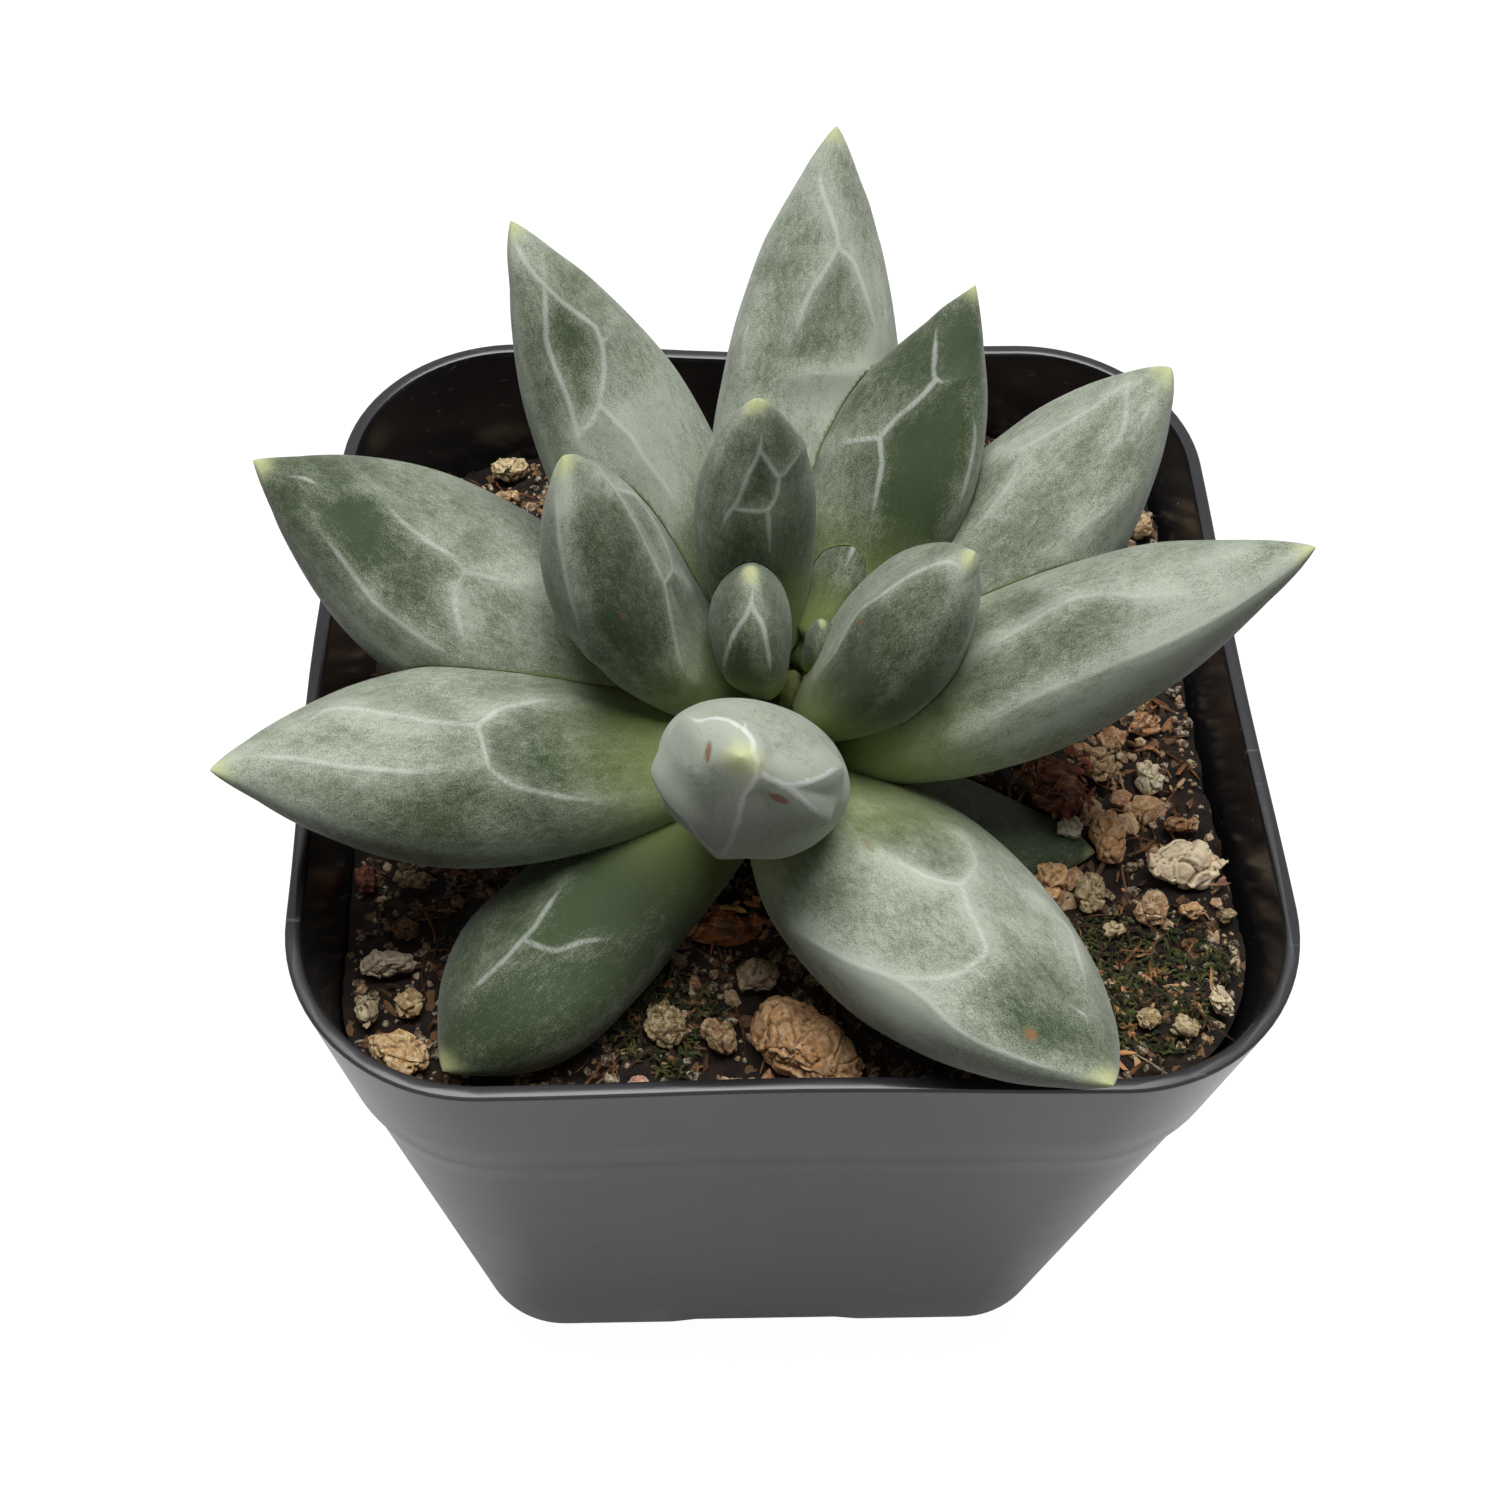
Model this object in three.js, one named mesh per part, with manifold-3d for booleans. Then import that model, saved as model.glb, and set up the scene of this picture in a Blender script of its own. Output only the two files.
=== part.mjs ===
// A potted succulent: a rosette of plump pointed leaves on a short stem, in gritty soil with
// loose stones and bark, in a square plastic nursery pot. Millimetres, +Z up.
import * as THREE from "three";
import { mergeVertices } from "three/addons/utils/BufferGeometryUtils.js";
import Module from "manifold-3d";

// ---- Driving dimensions ----

// Pot: a square tapered shell with round corners, a collar under the rim and four corner feet.
const POT_HEIGHT = 66;
const RIM_WIDTH = 70;
const BASE_WIDTH = 54;
const RIM_CORNER = 13.8;
const BASE_CORNER = 8.4;
const WALL = 1.1;
const FLOOR = 1.4;
const COLLAR_HEIGHT = 14.6;
const COLLAR_STEP = 0.4;
const COLLAR_SLOPE = 0.8;
const BOTTOM_ROUND = 0.8;
const ROUND_STEP_UP = 0.3;
const ROUND_STEP_IN = 0.35;
const FOOT_HEIGHT = 1.6;
const FOOT_GAP_TOP = 13;
const FOOT_GAP_BOTTOM = 20.7;
const DRAIN_HOLE = 6;
const DRAIN_SPACING = 32;
const DRAIN_SIDES = 16;

// Soil: its surface height below the rim at the pot's centre, and its slopes.
const SOIL_DROP = 8.7;
const SOIL_SLOPE_X = 0.07;
const SOIL_SLOPE_Y = -0.03;
const SOIL_LUMP = 0.35;
const SOIL_LUMP_LENGTH = 9;

// Stem: where it stands, and how it narrows upwards.
const STEM_X = 0.3;
const STEM_Y = -3;
const STEM_ROOT_DEPTH = 5;
const STEM_TOP = 12.4;
const STEM_RADIUS = 3;
const STEM_TIP_RADIUS = 1;
const STEM_SIDES = 14;

// Gap kept between pieces that touch, and the air between a leaf and the rim it passes over.
const GAP = 0.3;
const RIM_AIR = 0.6;

// Leaves, from the youngest in the heart of the rosette to the oldest on the soil.
// heading and rise: the way the leaf points, in degrees round the stem and above level.
// length, width, thick: its size. roll: its turn about its own length, in degrees.
// bow: how far its middle hangs under its straight line. reach: the base's distance from the
// stem's axis. height: the base above the soil. widest: where along it the leaf is widest.
// tip: how pointed it is, from 0.7 for blunt to 1 for sharp.
const LEAVES = [
  // heading, rise, length, width, thick, roll, bow, reach, height, widest, tip
  [0, 82, 5.4, 3.0, 2.3, 0, 0.3, 1.0, 12.9, 0.5, 0.8],
  [54, 36, 9.5, 4.5, 3.4, 10, -0.5, 1.7, 14.2, 0.5, 0.8],
  [200, 83, 13.2, 8.5, 6.4, 19, 0.3, 2.1, 12.1, 0.5, 0.8],
  [126, 82.5, 23.8, 9.5, 7.1, 6, 1.0, 2.5, 11.8, 0.55, 0.75],
  [-20, 65.5, 23.6, 12.4, 9.1, -7, 0.4, 1.7, 8.5, 0.5, 0.87],
  [176, 64, 28.3, 12.9, 9.2, 4, 2.3, 3.4, 8.2, 0.55, 0.82],
  [257, 52, 30.2, 13.5, 10.9, 8, 1.7, 3.0, 7.7, 0.62, 0.79],
  [55.5, 49.5, 30.7, 12.7, 9.7, -2, 0.3, 2.3, 9.5, 0.48, 1.0],
  [138.5, 55, 39.6, 13.2, 9.9, 2, 0.2, 3.2, 6.8, 0.5, 0.9],
  [84, 51.5, 41.2, 14.7, 11.2, -11, 1.8, 2.9, 6.2, 0.42, 0.84],
  [200.5, 23, 40.8, 16.0, 11.5, 2, 0.6, 3.7, 5.0, 0.52, 0.89],
  [168.5, 32.5, 41.3, 16.6, 12.5, 4, 1.9, 3.4, 4.2, 0.56, 0.9],
  [-11.5, 45, 40.6, 14.7, 10.9, 3, 0, 3.7, 4.7, 0.4, 0.84],
  [25, 46, 36.8, 14.9, 11.3, -1, 1.2, 3.0, 4.5, 0.5, 0.73],
  [296, 23, 40.9, 20.0, 12.6, 20, 1.5, 3.1, 2.5, 0.4, 0.81],
  [227, -3, 32, 13.6, 10.2, -8, -1.0, 4.4, 3.5, 0.68, 0.82],
  [338, -6, 22, 10.6, 8.0, 20, 3.0, 2.8, 4.2, 0.5, 0.81],
];
const LEAF_NECK = 0.5;
const LEAF_TOP_SHARE = 0.45;
const LEAF_STATIONS = 9;
const LEAF_SIDES = 10;

// Loose pieces on the soil. across and along: their place as shares of the soil's half width.
// length, width, height: their size. turn: degrees about the vertical.
const STONES = [
  // across, along, length, width, height, turn, colour
  [0.02, -0.85, 9.6, 6.2, 5.0, -38, 0xb9854f],
  [0.9, -0.44, 6.4, 4.4, 4.0, 5, 0xd8ccb2],
  [0.74, -0.35, 3.6, 5.2, 3.6, 0, 0xc08a58],
  [0.59, -0.47, 3.2, 4.6, 3.6, -20, 0xc99a66],
  [0.68, -0.5, 2.8, 3.4, 3.0, 0, 0x8d8468],
  [0.74, -0.14, 3.4, 3.4, 3.0, 20, 0xa98a66],
  [0.86, -0.18, 2.7, 3.4, 3.0, 0, 0xc9c7b4],
  [0.64, -0.34, 3.0, 2.4, 2.4, -10, 0xd6d2c6],
  [0.91, -0.32, 3.6, 2.2, 2.2, 0, 0x94643c],
  [0.81, -0.55, 3.0, 3.0, 2.6, 0, 0xa68662],
  [0.9, -0.56, 2.6, 2.2, 2.2, 0, 0xb98e5e],
  [0.97, -0.57, 2.2, 2.0, 1.8, 0, 0x7f7a55],
  [0.92, -0.79, 2.4, 3.4, 2.6, 20, 0xb7ad98],
  [0.84, -0.84, 2.8, 2.2, 1.8, -10, 0x7d7f5c],
  [-0.07, -0.67, 4.2, 3.2, 3.0, 20, 0xa28e78],
  [-0.16, -0.82, 3.0, 3.4, 2.8, 0, 0x9a7650],
  [-0.16, -0.94, 3.4, 2.0, 2.0, 0, 0xb4a27c],
  [0.05, -0.68, 2.4, 1.8, 1.8, 30, 0x84795c],
  [0.18, -0.78, 2.4, 2.4, 2.0, 0, 0x6a4a36],
  [-0.28, -0.78, 3.4, 4.2, 2.6, 10, 0x5f5a30],
  [-0.86, -0.83, 5.4, 3.6, 3.2, -30, 0xa5855a],
  [-0.9, -0.61, 4.4, 2.8, 3.0, 5, 0xb5aa98],
  [-0.94, -0.72, 2.4, 3.2, 3.0, 10, 0xa39a8c],
  [-0.84, -0.71, 2.8, 2.8, 2.6, 0, 0x8f7d58],
  [-0.87, -0.51, 2.6, 2.4, 2.4, 0, 0x9b7048],
  [-0.85, -0.38, 3.4, 2.4, 2.4, 0, 0x8f7f66],
  [0.87, -0.02, 3.8, 2.2, 2.2, 20, 0x9c6e46],
  [-0.7, 0.93, 4.0, 3.0, 3.0, 10, 0xb9a67e],
  [-0.7, 0.81, 3.4, 2.6, 2.6, 0, 0x8d7450],
  [0.95, 0.61, 2.6, 3.0, 2.6, 0, 0x9a8664],
  [0.72, -0.59, 2.2, 1.8, 1.6, 0, 0x8f8a66],
  [0.76, -0.82, 2.2, 2.2, 1.6, 0, 0x6f6a48],
  [0.28, -0.95, 2.2, 1.6, 1.6, 0, 0xb8a684],
  [-0.33, -0.93, 2.2, 1.4, 1.4, -20, 0xa48474],
];
const BARK = [
  // across, along, length, width, height, turn, colour
  [0.64, -0.21, 4.2, 5.0, 3.6, 0, 0x5a3020],
  [-0.97, -0.37, 2.2, 2.8, 2.4, 15, 0x6b4030],
  [-0.16, -0.54, 6.8, 2.8, 3.2, -5, 0x8a5432],
];
const SUNK_SHARE = 0.3;
const SOCKET_SIDES = 8;
const SOCKET_TAPER = 0.9;
const STONE_ROUGHNESS = 0.12;
const BARK_ROUGHNESS = 0.2;

// Colours of the pieces that are not loose stones.
const POT_BLACK = 0x1f1f22;
const SOIL_BROWN = 0x1d1712;
const STEM_GREEN = 0x8b9a5e;
const LEAF_GREEN = 0x8b9c86;

// ---- Dependent sizes ----

const SOIL_HEIGHT = POT_HEIGHT - SOIL_DROP;
const COLLAR_FOOT = POT_HEIGHT - COLLAR_HEIGHT;
const SOIL_HALF = taperHalf(SOIL_HEIGHT) - WALL - GAP;
const CORNER_STEPS = 6;
const SQUARE_SIDES = 4 * (CORNER_STEPS + 1);

const wasm = await Module();
wasm.setup();

// ---- Solids ----

// Turns a closed three.js geometry into a solid that can be joined and cut.
function solidOf(geometry) {
  const bare = geometry.clone();
  bare.deleteAttribute("normal");
  bare.deleteAttribute("uv");
  const merged = mergeVertices(bare, 1e-4);
  return new wasm.Manifold(
    new wasm.Mesh({
      numProp: 3,
      vertProperties: merged.attributes.position.array,
      triVerts: new Uint32Array(merged.index.array),
    }),
  );
}

// The largest of the bodies that a cut leaves, without the slivers.
function largestBody(solid) {
  const bodies = solid.decompose();
  return bodies.reduce((best, body) => (body.volume() > best.volume() ? body : best));
}

// Turns a solid into a named mesh with its own material.
function meshOf(name, solid, color, roughness) {
  const cut = solid.getMesh();
  const geometry = new THREE.BufferGeometry();
  geometry.setAttribute("position", new THREE.BufferAttribute(cut.vertProperties, 3));
  geometry.setIndex(new THREE.BufferAttribute(cut.triVerts, 1));
  const material = new THREE.MeshStandardMaterial({ color, roughness, metalness: 0 });
  const mesh = new THREE.Mesh(geometry, material);
  mesh.name = name;
  return mesh;
}

// A closed skin through rings of points: ring(i) gives a ring's i-th point, and the first and
// last rings are single points. A lathe's grid of faces is used, with its points put in place.
function skinSolid(rings, sides) {
  const profile = rings.map((_, j) => new THREE.Vector2(j, 0));
  const grid = new THREE.LatheGeometry(profile, sides);
  for (let i = 0; i <= sides; i++) {
    rings.forEach((ring, j) => {
      const point = ring(i % sides);
      grid.attributes.position.setXYZ(i * rings.length + j, point.x, point.y, point.z);
    });
  }
  return solidOf(grid);
}

// ---- Pot ----

// Half the width of the pot's straight taper at a height.
function taperHalf(z) {
  return THREE.MathUtils.mapLinear(z, 0, POT_HEIGHT, BASE_WIDTH, RIM_WIDTH) / 2;
}

// Corner radius of the pot's outside at a height.
function taperCorner(z) {
  return THREE.MathUtils.mapLinear(z, 0, POT_HEIGHT, BASE_CORNER, RIM_CORNER);
}

// The i-th point of a rounded square, counted anticlockwise from the foot of its first corner.
function squarePoint(i, half, corner, z) {
  const quarter = Math.floor(i / (CORNER_STEPS + 1));
  const step = i % (CORNER_STEPS + 1);
  const angle = ((quarter + step / CORNER_STEPS) * Math.PI) / 2;
  const middle = ((quarter + 0.5) * Math.PI) / 2;
  const x = Math.sign(Math.cos(middle)) * (half - corner) + corner * Math.cos(angle);
  const y = Math.sign(Math.sin(middle)) * (half - corner) + corner * Math.sin(angle);
  return new THREE.Vector3(x, y, z);
}

// A ring of the pot's outline at height z, moved inwards by inset.
function squareRing(z, inset) {
  return (i) => squarePoint(i, taperHalf(z) - inset, taperCorner(z) - inset, z);
}

function pointRing(x, y, z) {
  return () => new THREE.Vector3(x, y, z);
}

// The collar stands proud of the straight taper, and the body below it is set back.
function wallRings(inset, bottom) {
  return [
    squareRing(bottom, inset + COLLAR_STEP / 2),
    squareRing(COLLAR_FOOT - COLLAR_SLOPE, inset + COLLAR_STEP / 2),
    squareRing(COLLAR_FOOT, inset - COLLAR_STEP / 2),
  ];
}

function potOutside() {
  return skinSolid(
    [
      pointRing(0, 0, 0),
      squareRing(0, BOTTOM_ROUND),
      squareRing(BOTTOM_ROUND * ROUND_STEP_UP, BOTTOM_ROUND * ROUND_STEP_IN),
      ...wallRings(0, BOTTOM_ROUND),
      squareRing(POT_HEIGHT, 0),
      pointRing(0, 0, POT_HEIGHT),
    ],
    SQUARE_SIDES,
  );
}

// The room inside the pot, with its wall moved in by extra and its top at the given rings.
function potInside(extra, topRings) {
  const inset = WALL + extra;
  const floor = FLOOR + extra;
  return skinSolid(
    [
      pointRing(0, 0, floor),
      squareRing(floor, inset + BOTTOM_ROUND),
      ...wallRings(inset, floor + BOTTOM_ROUND),
      ...topRings,
    ],
    SQUARE_SIDES,
  ).subtract(channelCross(FLOOR + extra));
}

// The cross-shaped channel under the pot that leaves four feet, grown by thickness.
function channelCross(thickness) {
  const top = FOOT_GAP_TOP / 2 + thickness;
  const bottom = FOOT_GAP_BOTTOM / 2 + thickness;
  const height = FOOT_HEIGHT + thickness;
  const below = 1;
  const outline = new THREE.Shape([
    new THREE.Vector2(-bottom, -below),
    new THREE.Vector2(bottom, -below),
    new THREE.Vector2(bottom, 0),
    new THREE.Vector2(top, height),
    new THREE.Vector2(-top, height),
    new THREE.Vector2(-bottom, 0),
  ]);
  const length = RIM_WIDTH * 2;
  const bar = new THREE.ExtrudeGeometry(outline, { depth: length, bevelEnabled: false });
  bar.translate(0, 0, -length / 2).rotateX(Math.PI / 2);
  const crossBar = bar.clone().rotateZ(Math.PI / 2);
  return solidOf(bar).add(solidOf(crossBar));
}

// Round drain holes through the raised floor, one on each arm of the cross.
function drainHoles() {
  const hole = new THREE.CylinderGeometry(DRAIN_HOLE / 2, DRAIN_HOLE / 2, POT_HEIGHT / 4, DRAIN_SIDES);
  hole.rotateX(Math.PI / 2).translate(DRAIN_SPACING / 2, 0, 0);
  const holes = [0, 1, 2, 3].map((k) => solidOf(hole.clone().rotateZ((k * Math.PI) / 2)));
  return wasm.Manifold.union(holes);
}

function potSolid() {
  const room = potInside(0, [squareRing(POT_HEIGHT + 1, WALL), pointRing(0, 0, POT_HEIGHT + 1)]);
  return potOutside().subtract(channelCross(0)).subtract(room).subtract(drainHoles());
}

// Distance of a point outside the pot's inner wall, less than zero inside it.
function outsideWall(point) {
  const z = Math.min(point.z, POT_HEIGHT);
  const corner = taperCorner(z) - WALL - GAP;
  const flat = taperHalf(z) - WALL - GAP - COLLAR_STEP - corner;
  const dx = Math.abs(point.x) - flat;
  const dy = Math.abs(point.y) - flat;
  const inside = Math.min(Math.max(dx, dy), 0);
  return Math.hypot(Math.max(dx, 0), Math.max(dy, 0)) + inside - corner;
}

// ---- Soil ----

function soilHeight(x, y) {
  const slope = SOIL_SLOPE_X * x + SOIL_SLOPE_Y * y;
  const lump = Math.sin(x / SOIL_LUMP_LENGTH + 1) * Math.cos((1.3 * y) / SOIL_LUMP_LENGTH);
  return SOIL_HEIGHT + slope + SOIL_LUMP * lump;
}

// A ring of the soil's surface at a share of its width.
function soilRing(share) {
  return (i) => {
    const edge = squareRing(SOIL_HEIGHT, WALL + GAP)(i);
    const x = edge.x * share;
    const y = edge.y * share;
    return new THREE.Vector3(x, y, soilHeight(x, y));
  };
}

function soilSolid(buried) {
  const surface = [1, 0.86, 0.66, 0.44, 0.22].map(soilRing);
  const heap = potInside(GAP, [...surface, pointRing(0, 0, soilHeight(0, 0))]);
  return largestBody(heap.subtract(wasm.Manifold.union(buried)));
}

// ---- Stem ----

function stemSolid(grow) {
  const bottom = SOIL_HEIGHT - STEM_ROOT_DEPTH - grow;
  const top = SOIL_HEIGHT + STEM_TOP + grow;
  const height = top - bottom;
  const tip = STEM_TIP_RADIUS + grow;
  const shape = new THREE.CylinderGeometry(tip, STEM_RADIUS + grow, height, STEM_SIDES);
  shape.rotateX(Math.PI / 2).translate(STEM_X, STEM_Y, (top + bottom) / 2);
  return solidOf(shape);
}

// ---- Leaves ----

function readLeaf(row, index) {
  const [heading, rise, length, width, thick, roll, bow, reach, height, widest, tip] = row;
  const name = `leaf_${String(index + 1).padStart(2, "0")}`;
  const leaf = { name, heading, rise, length, width, thick, roll, bow, reach, height, widest, tip };
  while (leaf.rise < 90 && !clearsRim(leaf)) leaf.rise += 1;
  return leaf;
}

// A leaf that reaches the pot's wall passes over the rim.
function clearsRim(leaf) {
  return leafRings(leaf, 0).every((ring) => {
    const points = Array.from({ length: LEAF_SIDES }, (_, i) => ring(i));
    return points.every((p) => outsideWall(p) < 0 || p.z > POT_HEIGHT + RIM_AIR);
  });
}

// Share of the leaf's full width at a share t of its length.
function leafWidth(leaf, t) {
  if (t < leaf.widest) {
    return LEAF_NECK + (1 - LEAF_NECK) * Math.sin((Math.PI / 2) * (t / leaf.widest));
  }
  const beyond = (t - leaf.widest) / (1 - leaf.widest);
  return Math.max(1 - beyond ** 2, 0) ** leaf.tip;
}

// The rings of a leaf, each an oval across it, flatter above than below.
function leafRings(leaf, grow) {
  const heading = THREE.MathUtils.degToRad(leaf.heading);
  const rise = THREE.MathUtils.degToRad(leaf.rise);
  const outward = new THREE.Vector3(Math.cos(heading), Math.sin(heading), 0);
  const upward = new THREE.Vector3(0, 0, 1);
  const along = outward.clone().multiplyScalar(Math.cos(rise)).addScaledVector(upward, Math.sin(rise));
  const over = upward.clone().multiplyScalar(Math.cos(rise)).addScaledVector(outward, -Math.sin(rise));
  over.applyAxisAngle(along, -THREE.MathUtils.degToRad(leaf.roll));
  const side = over.clone().cross(along);
  const base = new THREE.Vector3(STEM_X, STEM_Y, SOIL_HEIGHT + leaf.height);
  base.addScaledVector(outward, leaf.reach);

  const spine = (t) => {
    const place = leaf.length * t + grow * (2 * t - 1);
    const sag = leaf.bow * 4 * t * (1 - t);
    return base.clone().addScaledVector(along, place).addScaledVector(over, -sag);
  };
  const rings = [() => spine(0)];
  for (let j = 1; j < LEAF_STATIONS; j++) {
    const t = (1 - Math.cos((Math.PI * j) / LEAF_STATIONS)) / 2;
    const halfWidth = (leaf.width / 2) * leafWidth(leaf, t) + grow;
    const depth = leaf.thick * leafWidth(leaf, t);
    rings.push((i) => {
      const angle = (2 * Math.PI * i) / LEAF_SIDES;
      const share = Math.sin(angle) > 0 ? LEAF_TOP_SHARE : 1 - LEAF_TOP_SHARE;
      const lift = Math.sin(angle) * (depth * share + grow);
      return spine(t).addScaledVector(side, Math.cos(angle) * halfWidth).addScaledVector(over, lift);
    });
  }
  rings.push(() => spine(1));
  return rings;
}

function leafSolid(leaf, grow) {
  return skinSolid(leafRings(leaf, grow), LEAF_SIDES);
}

// ---- Loose stones and bark ----

// An uneven lump, sunk a little into the soil; seed sets its shape.
function lumpSolid(row, seed, roughness, grow) {
  const [across, along, length, width, height, turn] = row;
  const x = across * SOIL_HALF;
  const y = along * SOIL_HALF;
  const ball = new THREE.IcosahedronGeometry(1, 1);
  ball.deleteAttribute("normal");
  ball.deleteAttribute("uv");
  const lump = mergeVertices(ball, 1e-4);
  const place = lump.attributes.position;
  THREE.MathUtils.seededRandom(seed);
  for (let k = 0; k < place.count; k++) {
    const swell = 1 + roughness * (2 * THREE.MathUtils.seededRandom() - 1);
    place.setXYZ(k, place.getX(k) * swell, place.getY(k) * swell, place.getZ(k) * swell);
  }
  lump.scale(length / 2 + grow, width / 2 + grow, height / 2 + grow);
  lump.rotateZ(THREE.MathUtils.degToRad(turn));
  lump.translate(x, y, soilHeight(x, y) + height * (0.5 - SUNK_SHARE));
  return solidOf(lump);
}

// The hollow that a lump has pressed in the soil, eight-sided and open at the top.
function socketSolid(row, roughness) {
  const [across, along, length, width, height, turn] = row;
  const x = across * SOIL_HALF;
  const y = along * SOIL_HALF;
  const spread = (1 + roughness) / Math.cos(Math.PI / SOCKET_SIDES);
  const floor = soilHeight(x, y) - height * (SUNK_SHARE + roughness / 2) - GAP;
  const socket = new THREE.CylinderGeometry(1, SOCKET_TAPER, height, SOCKET_SIDES);
  socket.rotateX(Math.PI / 2);
  socket.scale((length / 2) * spread + GAP, (width / 2) * spread + GAP, 1);
  socket.rotateZ(THREE.MathUtils.degToRad(turn));
  socket.translate(x, y, floor + height / 2);
  return solidOf(socket);
}

// ---- Assembly ----

const plant = new THREE.Group();
plant.add(meshOf("pot", potSolid(), POT_BLACK, 0.45));
plant.add(meshOf("stem", stemSolid(0), STEM_GREEN, 0.7));

// Each leaf is shaped round the stem and round the younger leaves that lie on it.
const grownLeaves = [stemSolid(GAP)];
for (const leaf of LEAVES.map(readLeaf)) {
  const whole = leafSolid(leaf, 0);
  const trimmed = largestBody(whole.subtract(wasm.Manifold.union(grownLeaves)));
  plant.add(meshOf(leaf.name, trimmed, LEAF_GREEN, 0.6));
  grownLeaves.push(leafSolid(leaf, GAP));
}

// Each loose piece gives way to the leaves, to the pot and to the pieces placed before it.
const potGrown = potInside(GAP, [
  squareRing(POT_HEIGHT, WALL + GAP),
  pointRing(0, 0, POT_HEIGHT),
]);
const sockets = [];
const placed = [...grownLeaves];
function addLoose(rows, label, roughness, firstSeed) {
  rows.forEach((row, index) => {
    const seed = firstSeed + index;
    const whole = lumpSolid(row, seed, roughness, 0).intersect(potGrown);
    const name = `${label}_${String(index + 1).padStart(2, "0")}`;
    const lump = largestBody(whole.subtract(wasm.Manifold.union(placed)));
    const color = row.at(-1);
    plant.add(meshOf(name, lump, color, 0.9));
    placed.push(lumpSolid(row, seed, roughness, GAP));
    sockets.push(socketSolid(row, roughness));
  });
}
addLoose(STONES, "stone", STONE_ROUGHNESS, 100);
addLoose(BARK, "bark", BARK_ROUGHNESS, 200);

plant.add(meshOf("soil", soilSolid([...grownLeaves, ...sockets]), SOIL_BROWN, 0.95));

// The frame's origin lies under the middle of the whole object, on the surface it stands on.
const bounds = new THREE.Box3().setFromObject(plant, true);
const middle = bounds.getCenter(new THREE.Vector3());
plant.position.set(-middle.x, -middle.y, -bounds.min.z);

const object = new THREE.Group();
object.add(plant);
export default object;
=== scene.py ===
import math
import random

import bpy
import numpy as np
from mathutils import Matrix, Vector, noise
from mathutils.bvhtree import BVHTree


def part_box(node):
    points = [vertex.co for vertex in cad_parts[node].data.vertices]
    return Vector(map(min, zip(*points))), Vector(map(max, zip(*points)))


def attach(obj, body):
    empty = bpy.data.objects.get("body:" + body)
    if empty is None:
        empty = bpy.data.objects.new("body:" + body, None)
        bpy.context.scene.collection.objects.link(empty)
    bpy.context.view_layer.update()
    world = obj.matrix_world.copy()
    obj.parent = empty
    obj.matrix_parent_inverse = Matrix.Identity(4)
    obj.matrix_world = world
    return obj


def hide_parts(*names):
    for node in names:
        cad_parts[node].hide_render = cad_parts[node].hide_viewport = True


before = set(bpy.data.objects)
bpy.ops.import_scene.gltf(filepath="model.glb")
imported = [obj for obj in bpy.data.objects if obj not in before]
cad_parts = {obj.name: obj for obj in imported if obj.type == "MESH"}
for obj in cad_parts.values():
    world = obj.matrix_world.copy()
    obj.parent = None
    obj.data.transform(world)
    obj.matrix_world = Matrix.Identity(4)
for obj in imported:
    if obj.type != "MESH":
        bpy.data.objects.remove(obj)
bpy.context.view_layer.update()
MM = 0.001
pot_low, pot_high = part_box("pot")
POT_X = (pot_low.x + pot_high.x) / 2
POT_Y = (pot_low.y + pot_high.y) / 2
POT_CENTRE = Vector((POT_X, POT_Y, 0))


# ---- Camera ----
# A close three-quarter view from above the front edge of the pot, held a little askew.
CAMERA_RISE = math.radians(54.67)
CAMERA_ROUND = math.radians(-4.05)
CAMERA_TILT = math.radians(3.0)
CAMERA_DISTANCE = 168.09 * MM
CAMERA_LENS = 47.77

camera_aim = POT_CENTRE + Vector((-1.90, 5.85, 47.22)) * MM
camera_back = Vector(
    (
        math.sin(CAMERA_ROUND) * math.cos(CAMERA_RISE),
        -math.cos(CAMERA_ROUND) * math.cos(CAMERA_RISE),
        math.sin(CAMERA_RISE),
    )
)
level_right = (-camera_back).cross(Vector((0, 0, 1))).normalized()
level_up = level_right.cross(-camera_back)
camera_right = level_right * math.cos(CAMERA_TILT) + level_up * math.sin(CAMERA_TILT)
camera_up = level_up * math.cos(CAMERA_TILT) - level_right * math.sin(CAMERA_TILT)
bpy.ops.object.camera_add()
camera = bpy.context.object
camera.name = "studio_camera"
camera.matrix_world = Matrix.Translation(camera_aim + camera_back * CAMERA_DISTANCE) @ Matrix(
    (camera_right, camera_up, camera_back)
).transposed().to_4x4()
camera.data.lens = CAMERA_LENS
camera.data.sensor_width = 36
camera.data.clip_start = 0.01
bpy.context.scene.camera = camera


# ---- Studio ----
# An opal glass table lit from below, under one softbox overhead and a weak one in front, in
# white surroundings that only show in what is glossy.
bpy.context.scene.view_settings.view_transform = "Standard"


def linear(colour):
    """The linear light of an sRGB colour written as a hex number, with full alpha."""
    parts = [(colour >> shift & 255) / 255 for shift in (16, 8, 0)]
    light = [c / 12.92 if c <= 0.04045 else ((c + 0.055) / 1.055) ** 2.4 for c in parts]
    return (*light, 1.0)


def set_inputs(material, node, sockets):
    """Sets a node's inputs, each to a value or to another node's output."""
    for socket, value in sockets.items():
        if isinstance(value, bpy.types.NodeSocket):
            material.node_tree.links.new(value, node.inputs[socket])
        else:
            node.inputs[socket].default_value = value


def add_node(material, kind, sockets={}, **settings):
    """Adds a node: settings are its options, sockets its inputs, each a value or another node's output."""
    node = material.node_tree.nodes.new(kind)
    for option, value in settings.items():
        setattr(node, option, value)
    set_inputs(material, node, sockets)
    return node


def new_material(name):
    """An empty Principled material, and its shader."""
    material = bpy.data.materials.new(name)
    material.use_nodes = True
    return material, material.node_tree.nodes["Principled BSDF"]


def deselect():
    bpy.ops.object.select_all(action="DESELECT")


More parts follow.
